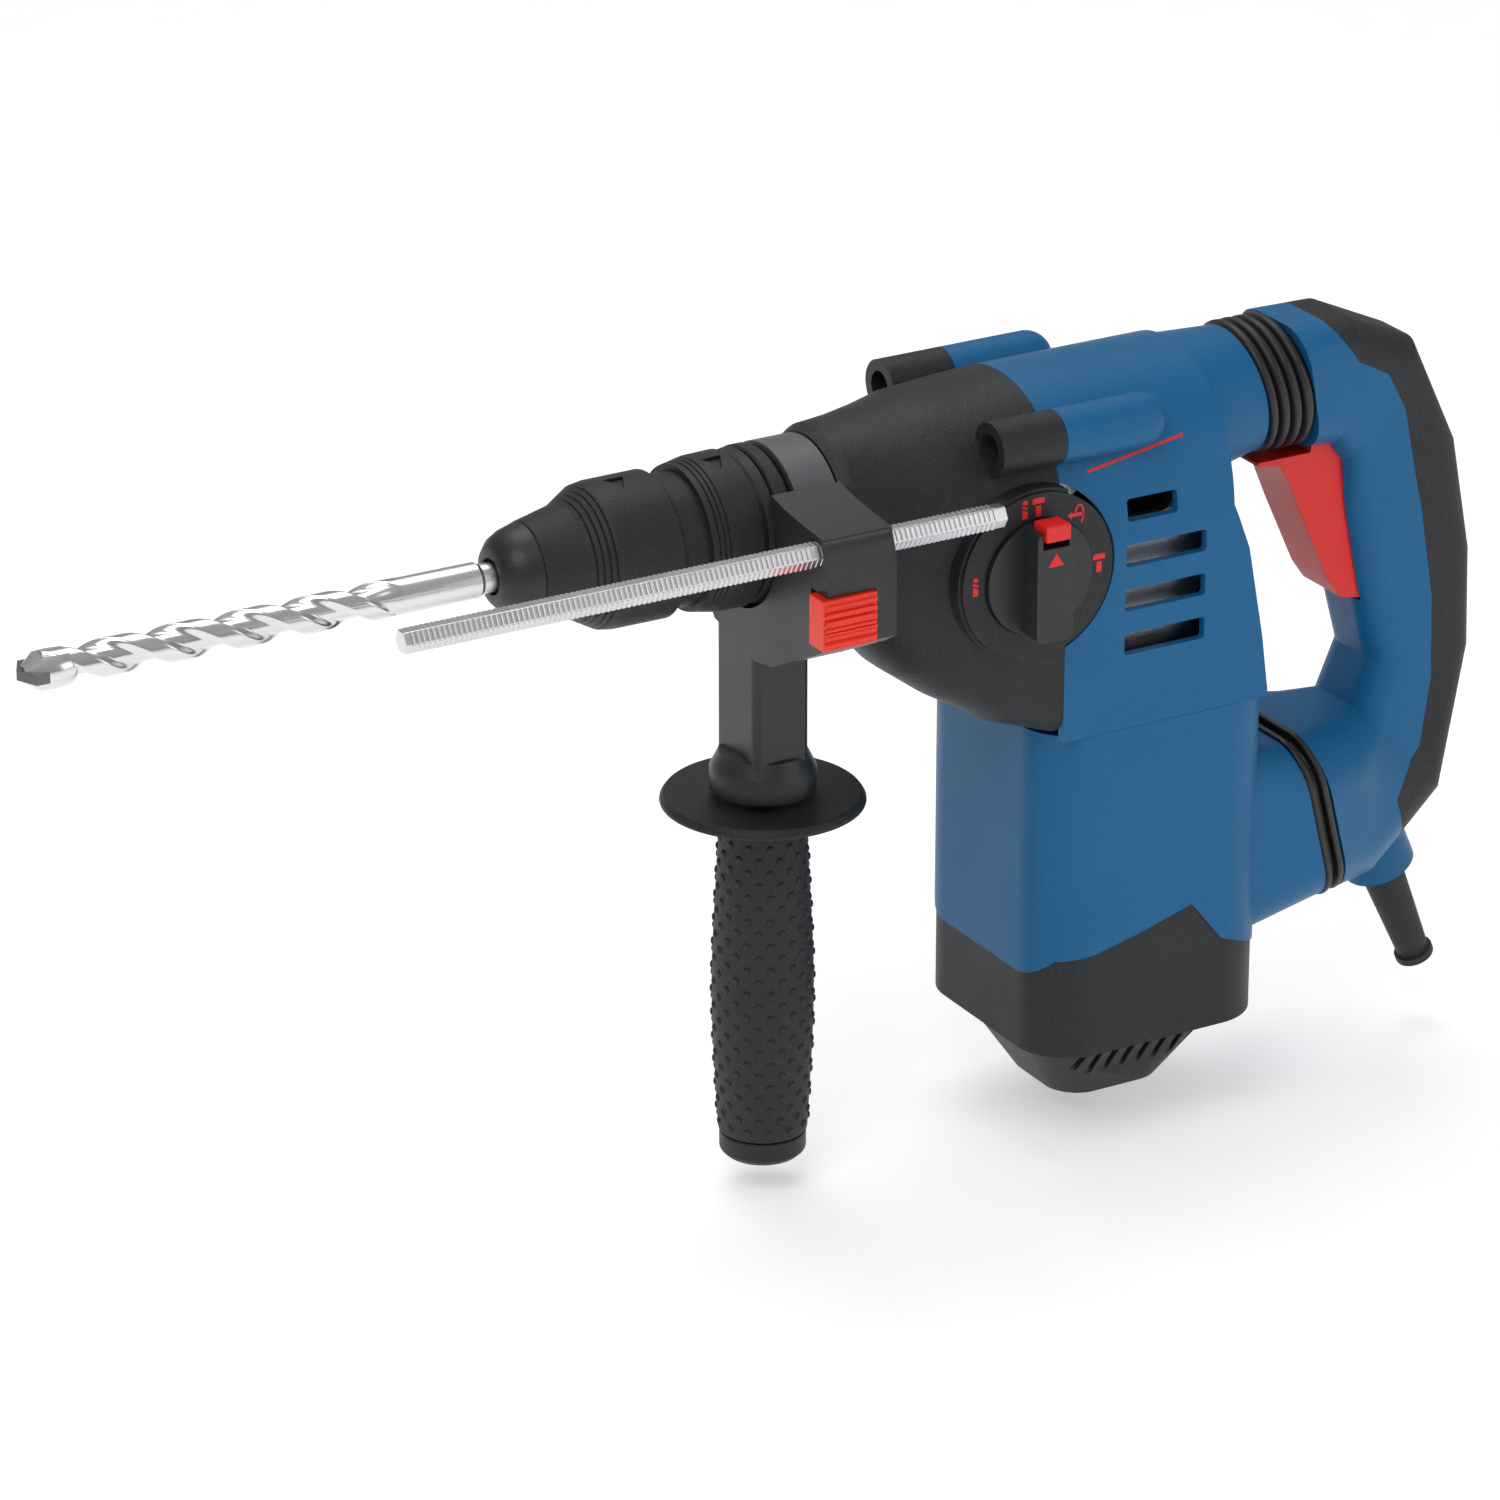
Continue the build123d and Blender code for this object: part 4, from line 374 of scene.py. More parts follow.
BLUE_SHELL = Finish("blue_shell", Tone.BLUE, 0.42, grain=0.00006, fineness=1500, speck=0.1, specular=0.22)
BLACK_SHELL = Finish("black_shell", Tone.BLACK, 0.5, grain=0.0001, fineness=1250, speck=0.5, specular=0.3)
BLACK_SATIN = Finish("black_satin", Tone.BLACK, 0.42, grain=0.00004, fineness=1800, speck=0.35, specular=0.45)
GREY_BAND = Finish("grey_band", Tone.BAND_GREY, 0.42, grain=0.00004, fineness=1600, speck=0.3)
SOFT_RUBBER = Finish("soft_rubber", Tone.BLACK, 0.6, grain=0.00012, fineness=1100, speck=0.5, specular=0.35)
FOLD_RUBBER = Finish("fold_rubber", Tone.DEEP_BLACK, 0.42, grain=0.00004, fineness=1600, speck=0.2)
RED_SATIN = Finish("red_satin", Tone.RED, 0.46, grain=0.00004, fineness=1600, speck=0.08)
ORANGE_SATIN = Finish("orange_satin", Tone.ORANGE_RED, 0.4, grain=0.00003, fineness=1600, speck=0.05)
RED_INK = Finish("red_ink", Tone.RED, 0.5, grain=0.00001, fineness=1600, speck=0.05)
GROUND_STEEL = Finish(
    "ground_steel", Tone.BRIGHT, 0.2, 1.0, grain=0.00001, fineness=3500, drift=0.07, lines=Lines.TURNED
)
DRAWN_STEEL = Finish(
    "drawn_steel", Tone.BRIGHT, 0.28, 1.0, grain=0.00001, fineness=3000, drift=0.06, lines=Lines.DRAWN
)
MACHINED_STEEL = Finish(
    "machined_steel", Tone.STEEL, 0.3, 1.0, grain=0.00001, fineness=2500, drift=0.07, lines=Lines.TURNED
)
BLACKENED_STEEL = Finish(
    "blackened_steel", Tone.DARK_STEEL, 0.36, 1.0, grain=0.00001, fineness=2500, lines=Lines.TURNED
)
SINTERED_CARBIDE = Finish(
    "sintered_carbide", Tone.CARBIDE, 0.45, 1.0, grain=0.00003, fineness=2600, speck=0.2
)
CAST_ALUMINIUM = Finish("cast_aluminium", Tone.ALUMINIUM, 0.36, 1.0, grain=0.00006, fineness=900, speck=0.15)
COPPER_BARS = Finish("copper_bars", Tone.COPPER, 0.3, 1.0, grain=0.00001, fineness=1800, lines=Lines.TURNED)
PRESSED_CARBON = Finish("pressed_carbon", Tone.CARBON, 0.55, grain=0.00005, fineness=1500, speck=0.2)


# ------------------------------------------------------------------ mesh tools


def add_mesh(
    name: str, points: Sequence[Sequence[float]], faces: Sequence[Sequence[int]]
) -> bpy.types.Object:
    """Make an object at the origin from points in metres and faces.

    Args:
        name: The piece's name.
        points: Its corners.
        faces: Corner numbers of each face, pointing outwards.

    Returns:
        The new object, linked to the scene.
    """
    mesh = bpy.data.meshes.new(name)
    mesh.from_pydata([tuple(p) for p in points], [], [tuple(f) for f in faces])
    mesh.update()
    made = bpy.data.objects.new(name, mesh)
    bpy.context.scene.collection.objects.link(made)
    return made


def smooth(piece: bpy.types.Object, angle: float = 32.0) -> bpy.types.Object:
    """Shade a piece smooth, with edges above the angle, in degrees, kept sharp."""
    piece.data.shade_smooth()
    piece.data.set_sharp_from_angle(angle=math.radians(angle))
    return piece


def dress(piece: bpy.types.Object, finish: Finish) -> bpy.types.Object:
    """Give the whole piece one finish."""
    piece.data.materials.clear()
    piece.data.materials.append(finish.material())
    return piece


def soften(piece: bpy.types.Object, width: float, segments: int = 2) -> bpy.types.Object:
    """Round a piece's sharp edges, to a width in millimetres."""
    bevel = piece.modifiers.new("soft_edges", "BEVEL")
    bevel.limit_method = "ANGLE"
    bevel.angle_limit = math.radians(32)
    bevel.width = width * MM
    bevel.segments = segments
    bevel.harden_normals = True
    bevel.use_clamp_overlap = True
    return piece


def settle(piece: bpy.types.Object) -> bpy.types.Object:
    """Turn a piece's modifiers into its plain mesh."""
    graph = bpy.context.evaluated_depsgraph_get()
    mesh = bpy.data.meshes.new_from_object(piece.evaluated_get(graph), depsgraph=graph)
    piece.modifiers.clear()
    piece.data = mesh
    return piece


def merged_copy(node: bpy.types.Object, name: str, flat: float = 0.4) -> bpy.types.Object:
    """Copy a CAD node, join its loose triangles and remove the lines across flat faces.

    Args:
        node: The CAD node's object.
        name: The copy's name.
        flat: Angle in degrees under which two faces count as one flat.

    Returns:
        The copy.
    """
    shape = bmesh.new()
    shape.from_mesh(node.data)
    bmesh.ops.remove_doubles(shape, verts=shape.verts, dist=0.000004)
    bmesh.ops.dissolve_degenerate(shape, edges=shape.edges, dist=0.000002)
    bmesh.ops.dissolve_limit(shape, angle_limit=math.radians(flat), verts=shape.verts, edges=shape.edges)
    shape.verts.index_update()
    points = [tuple(v.co) for v in shape.verts]
    faces = [[v.index for v in f.verts] for f in shape.faces]
    shape.free()
    return add_mesh(name, points, faces)


def lathe(name: str, outline: Sequence[Point2], turns: int = 144) -> bpy.types.Object:
    """Revolve a closed outline of (x, radius) millimetres about the spindle's axis.

    Args:
        name: The piece's name.
        outline: Corners of the section, in order.
        turns: Steps round the axis.

    Returns:
        The turned piece.
    """
    points = []
    for step in range(turns):
        angle = 2 * math.pi * step / turns
        for x, radius in outline:
            points.append((x * MM, radius * MM * math.cos(angle), radius * MM * math.sin(angle)))
    size = len(outline)
    faces = []
    for step in range(turns):
        here, after = step * size, (step + 1) % turns * size
        for i in range(size):
            j = (i + 1) % size
            faces.append((here + i, here + j, after + j, after + i))
    made = add_mesh(name, points, faces)
    shape = bmesh.new()
    shape.from_mesh(made.data)
    bmesh.ops.recalc_face_normals(shape, faces=shape.faces)
    shape.to_mesh(made.data)
    shape.free()
    return made


def grooved(start: Point2, end: Point2, places: Iterable[float], width: float, depth: float) -> list[Point2]:
    """Return a straight stretch of outline with fine grooves in it.

    Args:
        start: The stretch's first corner, as x and radius.
        end: Its last corner.
        places: Middle of each groove, as x, in order.
        width: Width of a groove.
        depth: Its depth.

    Returns:
        The corners, first and last included.
    """
    def on_line(x: float) -> float:
        """Return the stretch's radius at x."""
        return start[1] + (end[1] - start[1]) * (x - start[0]) / (end[0] - start[0])

    corners = [start]
    for x in places:
        corners += [
            (x - width / 2, on_line(x - width / 2)),
            (x - width / 4, on_line(x) - depth),
            (x + width / 4, on_line(x) - depth),
            (x + width / 2, on_line(x + width / 2)),
        ]
    return corners + [end]


def cut(piece: bpy.types.Object, cutter: bpy.types.Object) -> bpy.types.Object:
    """Cut one closed mesh out of another and remove the cutter."""
    boolean = piece.modifiers.new("recess", "BOOLEAN")
    boolean.operation = "DIFFERENCE"
    boolean.solver = "EXACT"
    boolean.object = cutter
    settle(piece)
    bpy.data.objects.remove(cutter)
    return piece


def prism(name: str, outline: Sequence[Point2], low: float, high: float, place: Matrix) -> bpy.types.Object:
    """Extrude a convex or simple outline between two heights and put it in place.

    Args:
        name: The piece's name.
        outline: Corners in millimetres, anticlockwise.
        low: Lower height in millimetres.
        high: Upper height.
        place: Turns and moves the prism, in metres.

    Returns:
        The prism.
    """
    count = len(outline)
    points = [place @ Vector((x * MM, y * MM, level * MM)) for level in (low, high) for x, y in outline]
    faces = [tuple(reversed(range(count))), tuple(range(count, 2 * count))]
    for i in range(count):
        j = (i + 1) % count
        faces.append((i, j, count + j, count + i))
    return add_mesh(name, points, faces)


def side_patch(
    name: str,
    outline: Sequence[Point2],
    host: bpy.types.Object,
    lift: float,
    cell: float = 1.0,
) -> bpy.types.Object:
    """Lay a thin closed patch on the side of a host that faces -Y.

    Args:
        name: The piece's name.
        outline: Corners as x and z in millimetres, anticlockwise seen from -Y.
        host: The piece that it lies on.
        lift: How far the patch stands proud, in millimetres.
        cell: Size of the patch's squares, in millimetres.

    Returns:
        The patch.
    """
    shape = bmesh.new()
    face = shape.faces.new([shape.verts.new((x * MM, -0.2, z * MM)) for x, z in outline])
    face.normal_update()
    xs = [x for x, _ in outline]
    zs = [z for _, z in outline]
    for axis, low, high in ((0, min(xs), max(xs)), (2, min(zs), max(zs))):
        level = low + cell
        while level < high:
            plane = [0.0, 0.0, 0.0]
            normal = [0.0, 0.0, 0.0]
            plane[axis] = level * MM
            normal[axis] = 1.0
            whole = shape.verts[:] + shape.edges[:] + shape.faces[:]
            bmesh.ops.bisect_plane(shape, geom=whole, plane_co=plane, plane_no=normal, dist=1e-7)
            level += cell
    graph = bpy.context.evaluated_depsgraph_get()
    tree = BVHTree.FromObject(host, graph)
    for vert in shape.verts:
        hit, _, _, _ = tree.ray_cast(Vector((vert.co.x, -0.2, vert.co.z)), Vector((0, 1, 0)))
        vert.co.y = (hit.y if hit else -0.04) - lift * MM
    back = bmesh.ops.extrude_face_region(shape, geom=shape.faces[:])
    for item in back["geom"]:
        if isinstance(item, bmesh.types.BMVert):
            item.co.y += (lift + 0.3) * MM
    bmesh.ops.recalc_face_normals(shape, faces=shape.faces)
    mesh = bpy.data.meshes.new(name)
    shape.to_mesh(mesh)
    shape.free()
    made = bpy.data.objects.new(name, mesh)
    bpy.context.scene.collection.objects.link(made)
    return made


# ------------------------------------------------------------------ Geometry Nodes


class Recipe:
    """A Geometry Nodes tree under construction, with named sizes as its inputs."""

    def __init__(self, name: str) -> None:
        """Make an empty tree that takes and gives a mesh."""
        self.tree = bpy.data.node_groups.new(name, "GeometryNodeTree")
        self.tree.interface.new_socket(name="Mesh", in_out="INPUT", socket_type="NodeSocketGeometry")
        self.tree.interface.new_socket(name="Mesh", in_out="OUTPUT", socket_type="NodeSocketGeometry")
        self.source = self.tree.nodes.new("NodeGroupInput")
        self.sink = self.tree.nodes.new("NodeGroupOutput")

    def size(self, name: str, value: float, whole: bool = False) -> bpy.types.NodeSocket:
        """Add a named size and return its output socket.

        Args:
            name: The size's name.
            value: Its default.
            whole: True for a count.

        Returns:
            The socket on the group input.
        """
        kind = "NodeSocketInt" if whole else "NodeSocketFloat"
        socket = self.tree.interface.new_socket(name=name, in_out="INPUT", socket_type=kind)
        socket.default_value = value
        return self.source.outputs[name]

    def host(self) -> bpy.types.NodeSocket:
        """Return the socket of the mesh that the recipe works on."""
        return self.source.outputs["Mesh"]

    def node(self, kind: str, values: dict | None = None, **settings: object) -> bpy.types.Node:
        """Add a node.

        Args:
            kind: The node's type.
            values: Input name or number to a value or an output socket.
            settings: Properties of the node, set first.

        Returns:
            The node.
        """
        made = self.tree.nodes.new(kind)
        for key, setting in settings.items():
            setattr(made, key, setting)
        for key, value in (values or {}).items():
            self.feed(made, key, value)
        return made

    def feed(self, node: bpy.types.Node, key: str | int, value: Feed) -> None:
        """Set one input to a value, or link an output socket to it.

        Args:
            node: The node.
            key: The input's name or number.
            value: What it gets.
        """
        socket = node.inputs[key]
        if isinstance(value, bpy.types.NodeSocket):
            self.tree.links.new(value, socket)
        else:
            socket.default_value = value

    def sum(self, operation: str, left: Feed, right: Feed = 0.0) -> bpy.types.NodeSocket:
        """Return the output of a Math node.

        Args:
            operation: What the node works out.
            left: Its first value or socket.
            right: Its second value or socket.

        Returns:
            The node's output.
        """
        return self.node("ShaderNodeMath", {0: left, 1: right}, operation=operation).outputs[0]

    def vector(self, x: Feed = 0.0, y: Feed = 0.0, z: Feed = 0.0) -> bpy.types.NodeSocket:
        """Return the output of a Combine XYZ node.

        Args:
            x: Value or socket of the first part.
            y: Value or socket of the second part.
            z: Value or socket of the third part.

        Returns:
            The node's output.
        """
        return self.node("ShaderNodeCombineXYZ", {"X": x, "Y": y, "Z": z}).outputs[0]

    def close(self, geometry: bpy.types.NodeSocket, finish: Finish) -> None:
        """End the tree: make the instances real and give them their finish.

        Args:
            geometry: The instances.
            finish: Their finish.
        """
        real = self.node("GeometryNodeRealizeInstances", {"Geometry": geometry})
        painted = self.node(
            "GeometryNodeSetMaterial", {"Geometry": real.outputs[0], "Material": finish.material()}
        )
        self.tree.links.new(painted.outputs[0], self.sink.inputs["Mesh"])

    def grow(
        self, name: str, sizes: dict[str, float], host: bpy.types.Object | None = None
    ) -> bpy.types.Object:
        """Run the recipe and return its plain mesh as a new object.

        Args:
            name: The piece's name.
            sizes: Values for the named inputs.
            host: The piece whose mesh the recipe takes, if any.

        Returns:
            The new object.
        """
        base = bpy.data.meshes.new(name)
        if host is not None:
            graph = bpy.context.evaluated_depsgraph_get()
            base = bpy.data.meshes.new_from_object(host.evaluated_get(graph), depsgraph=graph)
        made = bpy.data.objects.new(name, base)
        bpy.context.scene.collection.objects.link(made)
        modifier = made.modifiers.new("recipe", "NODES")
        modifier.node_group = self.tree
        for item in self.tree.interface.items_tree:
            if item.item_type == "SOCKET" and item.in_out == "INPUT" and item.name in sizes:
                modifier[item.identifier] = sizes[item.name]
        return settle(made)


def nub_recipe(finish: Finish) -> Recipe:
    """Return a recipe for rows of grip nubs that stand on an upright, roughly round host.

    Args:
        finish: The nubs' finish.

    Returns:
        The recipe.
    """
    made = Recipe("grip_nubs")
    columns = made.size("Columns", 24, whole=True)
    rows = made.size("Rows", 12, whole=True)
    axis_x = made.size("Axis", 0.1)
    low = made.size("Lowest", -0.2)
    pitch = made.size("Pitch", 0.0085)
    nub = made.size("Radius", 0.00135)
    height = made.size("Height", 0.0007)
    count = made.sum("MULTIPLY", columns, rows)
    line = made.node("GeometryNodeMeshLine", {"Count": count})
    index = made.node("GeometryNodeInputIndex").outputs[0]
    column = made.sum("MODULO", index, columns)
    row = made.sum("FLOOR", made.sum("DIVIDE", index, columns))
    share = made.sum("DIVIDE", column, columns)
    angle = made.sum("MULTIPLY", share, 2 * math.pi)
    stagger = made.sum("MULTIPLY", made.sum("MODULO", column, 2.0), 0.5)
    level = made.sum("ADD", low, made.sum("MULTIPLY", made.sum("ADD", row, stagger), pitch))
    reach = 0.05
    x = made.sum("ADD", axis_x, made.sum("MULTIPLY", made.sum("COSINE", angle), reach))
    y = made.sum("MULTIPLY", made.sum("SINE", angle), reach)
    spot = made.vector(x, y, level)
    inward = made.vector(
        made.sum("MULTIPLY", made.sum("COSINE", angle), -1.0),
        made.sum("MULTIPLY", made.sum("SINE", angle), -1.0),
    )
    ray = made.node(
        "GeometryNodeRaycast",
        {
            "Target Geometry": made.host(),
            "Source Position": spot,
            "Ray Direction": inward,
            "Ray Length": reach,
        },
    )
    cloud = made.node("GeometryNodeMeshToPoints", {"Mesh": line.outputs[0]})
    placed = made.node(
        "GeometryNodeSetPosition", {"Geometry": cloud.outputs[0], "Position": ray.outputs["Hit Position"]}
    )
    turned = made.node("FunctionNodeAlignRotationToVector", {"Vector": ray.outputs["Hit Normal"]}, axis="Z")
    dome = made.node("GeometryNodeMeshUVSphere", {"Segments": 10, "Rings": 6, "Radius": 1.0})
    size = made.vector(nub, nub, height)
    studs = made.node(
        "GeometryNodeInstanceOnPoints",
        {
            "Points": placed.outputs[0],
            "Selection": ray.outputs["Is Hit"],
            "Instance": dome.outputs[0],
            "Rotation": turned.outputs[0],
            "Scale": size,
        },
    )
    shaded = made.node("GeometryNodeSetShadeSmooth", {0: studs.outputs[0]})
    made.close(shaded.outputs[0], finish)
    return made


def rib_recipe(finish: Finish) -> Recipe:
    """Return a recipe for a straight row of bars: each a beam along one axis, repeated along another.

    Args:
        finish: The ribs' finish.

    Returns:
        The recipe.
    """
    made = Recipe("rib_row")
    count = made.size("Count", 10, whole=True)
    start = [made.size(f"Start {axis}", 0.0) for axis in "XYZ"]
    step = [made.size(f"Step {axis}", 0.0) for axis in "XYZ"]
    beam = [made.size(f"Beam {axis}", 0.001) for axis in "XYZ"]
    turn = made.size("Turn", 0.0)
    lie = made.size("Lie", 0.0)
    line = made.node(
        "GeometryNodeMeshLine",
        {"Count": count, "Start Location": made.vector(*start), "Offset": made.vector(*step)},
    )
    bar = made.node("GeometryNodeMeshCylinder", {"Vertices": 8, "Radius": 0.5, "Depth": 1.0})
    laid = made.node(
        "GeometryNodeTransform", {"Geometry": bar.outputs[0], "Scale": made.vector(*beam)}
    )
    row = made.node(
        "GeometryNodeInstanceOnPoints",
        {"Points": line.outputs[0], "Instance": laid.outputs[0], "Rotation": made.vector(turn, lie, 0.0)},
    )
    made.close(row.outputs[0], finish)
    return made


def flute_recipe(finish: Finish) -> Recipe:
    """Return a recipe for a drill's fluted length: a two-lipped section that twists along X.

    Args:
        finish: The drill's finish.

    Returns:
        The recipe.
    """
    made = Recipe("twisted_flutes")
    front = made.size("Front", -0.15)
    back = made.size("Back", -0.03)
    pitch = made.size("Pitch", 0.046)
    land = made.size("Land radius", 0.006)
    web = made.size("Web radius", 0.0036)
    runout = made.size("Run out", 0.012)
    steps = made.size("Steps", 260, whole=True)
    line = made.node("GeometryNodeMeshLine", {"Count": steps}, mode="END_POINTS")
    made.feed(line, "Start Location", made.vector(front))
    made.feed(line, "Offset", made.vector(back))
    path = made.node("GeometryNodeMeshToCurve", {0: line.outputs[0]})
    ring = made.node("GeometryNodeCurvePrimitiveCircle", {"Resolution": 72, "Radius": 1.0})
    swept = made.node(
        "GeometryNodeCurveToMesh",
        {"Curve": path.outputs[0], "Profile Curve": ring.outputs[0], "Fill Caps": True},
    )
    here = made.node("ShaderNodeSeparateXYZ", {0: made.node("GeometryNodeInputPosition").outputs[0]})
    angle = made.sum("ARCTAN2", here.outputs["Z"], here.outputs["Y"])
    twist = made.sum("MULTIPLY", made.sum("DIVIDE", here.outputs["X"], pitch), 2 * math.pi)
    wave = made.sum("COSINE", made.sum("MULTIPLY", made.sum("SUBTRACT", angle, twist), 2.0))
    lip = made.node(
        "ShaderNodeMapRange",
        {"Value": wave, "From Min": -0.55, "From Max": 0.62, "To Min": 0.0, "To Max": 1.0},
        interpolation_type="SMOOTHERSTEP",
    )
    near_back = made.node(
        "ShaderNodeMapRange",
        {
            "Value": here.outputs["X"],
            "From Min": made.sum("SUBTRACT", back, runout),
            "From Max": back,
            "To Min": 0.0,
            "To Max": 1.0,
        },
        interpolation_type="SMOOTHSTEP",
    )
    full = made.sum("MAXIMUM", lip.outputs[0], near_back.outputs[0])
    radius = made.sum("ADD", web, made.sum("MULTIPLY", made.sum("SUBTRACT", land, web), full))
    y = made.sum("MULTIPLY", radius, made.sum("COSINE", angle))
    z = made.sum("MULTIPLY", radius, made.sum("SINE", angle))
    shaped = made.node(
        "GeometryNodeSetPosition",
        {"Geometry": swept.outputs[0], "Position": made.vector(here.outputs["X"], y, z)},
    )
    shaded = made.node("GeometryNodeSetShadeSmooth", {0: shaped.outputs[0]})
    made.close(shaded.outputs[0], finish)
    return made


# ------------------------------------------------------------------ sub-assemblies


class SubAssembly:
    """Pieces that belong together. It knows each CAD node's body and material slot."""

    def __init__(self, frame: dict) -> None:
        """Read where every node rides and what slot it has.
        """
        self.nodes: dict[str, bpy.types.Object] = frame["nodes"]
        record = frame["record"]
        self.rides: dict[str, str] = {
            node: body for body, nodes in record["behaviour"]["bodies"].items() for node in nodes
        }
        self.slots: dict[str, str] = {row["node"]: row["material_slot"] for row in record["subparts"]}

    def build(self) -> None:
        """Make and dress the sub-assembly's pieces."""
        raise NotImplementedError

    def keep(self, finish: Finish, *nodes: str) -> None:
        """Give CAD nodes whose shape is right a finish."""
        for node in nodes:
            dress(self.nodes[node], finish)
            LOG.info("%s keeps its shape, in %s", node, finish.name)

    def stand_for(self, piece: bpy.types.Object, *nodes: str) -> bpy.types.Object:
        """Let a finished piece ride with the first node's body and replace the nodes."""
        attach(piece, self.rides[nodes[0]])
        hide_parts(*nodes)
        LOG.info("%s stands for %s", piece.name, ", ".join(nodes))
        return piece

    def join_body(self, piece: bpy.types.Object, like: str) -> bpy.types.Object:
        """Let an extra piece ride with a node's body."""
        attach(piece, self.rides[like])
        LOG.info("%s rides with %s", piece.name, like)
        return piece

    def refine(self, node: str, finish: Finish, edge: float, angle: float = 32.0) -> bpy.types.Object:
        """Replace a node by a merged copy with smooth faces and softened edges.

        Args:
            node: The CAD node.
            finish: The copy's finish.
            edge: Width of the softened edges in millimetres.
            angle: Edges sharper than this many degrees stay edges.

        Returns:
            The finished copy.
        """
        piece = merged_copy(self.nodes[node], f"{node}_moulded")
        smooth(piece, angle)
        dress(piece, finish)
        if edge > 0:
            soften(piece, edge)
        return self.stand_for(piece, node)


@dataclass(frozen=True)
class SleeveShape:
    """The locking sleeve's outside, in millimetres along and from the spindle's axis."""

    front: float = 12.0
    front_r: float = 15.3
    cone_start: float = 25.6
    cone_start_r: float = 18.6
    cone_end: float = 34.2
    cone_end_r: float = 23.4
    full: float = 38.0
    full_r: float = 24.0
    back: float = 57.5
    back_r: float = 24.1
    wall: float = 1.6
    lip: float = 0.9
    grooves: tuple[float, ...] = (27.6, 29.5, 31.4, 33.2)


@dataclass(frozen=True)
class RingShape:
    """The change ring's outside, in millimetres."""

    front: float = 67.0
    front_r: float = 23.9
    full: float = 75.0
    full_r: float = 25.4
    waist: float = 86.6
    waist_r: float = 24.7
    back: float = 90.5
    back_r: float = 25.4
    wall: float = 2.6
    grooves: tuple[float, ...] = (69.2, 70.9, 72.6)


class Chuck(SubAssembly):
    """The chuck: sleeve, change ring, flange, dust cap and what they hold."""

    sleeve = SleeveShape()
    ring = RingShape()

    def build(self) -> None:
        """Make the turned sleeves with their grooves and arrows, and dress the rest."""
        self.stand_for(self._sleeve(), "lock_sleeve")
        self.stand_for(self._ring(), "change_ring")
        self.refine("chuck_core", BLACK_SHELL, 0.3)
        self.refine("nose_cap", FOLD_RUBBER, 0.3)
        self.keep(MACHINED_STEEL, "tool_holder", "lock_ring", "locking_balls", "impact_bolt")
        self.keep(BLACKENED_STEEL, "sleeve_spring")

    def _sleeve(self) -> bpy.types.Object:
        """Return the locking sleeve with its grooves and recessed arrow."""
        s = self.sleeve
        outside = [(s.front, s.front_r), (s.front + 0.5, s.front_r + 0.4)]
        outside += [(s.cone_start, s.cone_start_r)]
        first = (s.cone_start + 0.6, s.cone_start_r + 0.3)
        outside += grooved(first, (s.cone_end, s.cone_end_r), s.grooves, 0.7, 0.45)
        outside += [(s.full - 2.2, s.full_r - 0.35), (s.full, s.full_r)]
        outside += [(s.back - 0.8, s.back_r), (s.back, s.back_r - 0.7)]
        inside = [(s.back, s.back_r - s.wall), (s.full, s.full_r - s.wall)]
        inside += [(s.cone_start, s.cone_start_r - s.wall), (s.front, s.front_r - s.lip)]
        made = lathe("lock_sleeve_turned", outside + inside)
        for turn in (96, 276):
            cut(made, self._arrow(44.5, s.full_r, turn))
        return dress(smooth(made, 24), BLACK_SHELL)

    def _ring(self) -> bpy.types.Object:
        """Return the change ring with its grooves and recessed arrow."""
        r = self.ring
        outside = grooved((r.front, r.front_r), (r.full, r.full_r), r.grooves, 0.7, 0.45)
        outside += [(84.5, 25.6), (r.waist, r.waist_r), (r.back - 0.7, r.back_r), (r.back, r.back_r - 0.6)]
        inside = [(r.back, r.back_r - r.wall), (r.front, r.front_r - r.wall + 0.6)]
        made = lathe("change_ring_turned", outside + inside)
        for turn in (101, 281):
            cut(made, self._arrow(78.5, r.full_r, turn))
        return dress(smooth(made, 24), BLACK_SHELL)

    @staticmethod
    def _arrow(x: float, radius: float, turn: float) -> bpy.types.Object:
        """Return a cutter for a recessed arrow that points down the outside of a ring.

        Args:
            x: The arrow's place along the axis, in millimetres.
            radius: The ring's radius there.
            turn: Its angle round the axis in degrees, from +Y towards +Z.

        Returns:
            The cutter.
        """
        angle = math.radians(turn)
        out = Vector((0, math.cos(angle), math.sin(angle)))
        round_way = Vector((0, math.sin(angle), -math.cos(angle)))
        place = Matrix(((1, 0, 0, x * MM), (0, 0, 0, 0), (0, 0, 0, 0), (0, 0, 0, 1)))
        for row, part in ((1, 1), (2, 2)):
            place[row][1] = round_way[part]
            place[row][2] = out[part]
        arrow = [(-3.6, 3.9), (3.6, 3.9), (0.0, -3.9)]
        return prism("arrow_cutter", list(reversed(arrow)), radius - 1.3, radius + 3.0, place)


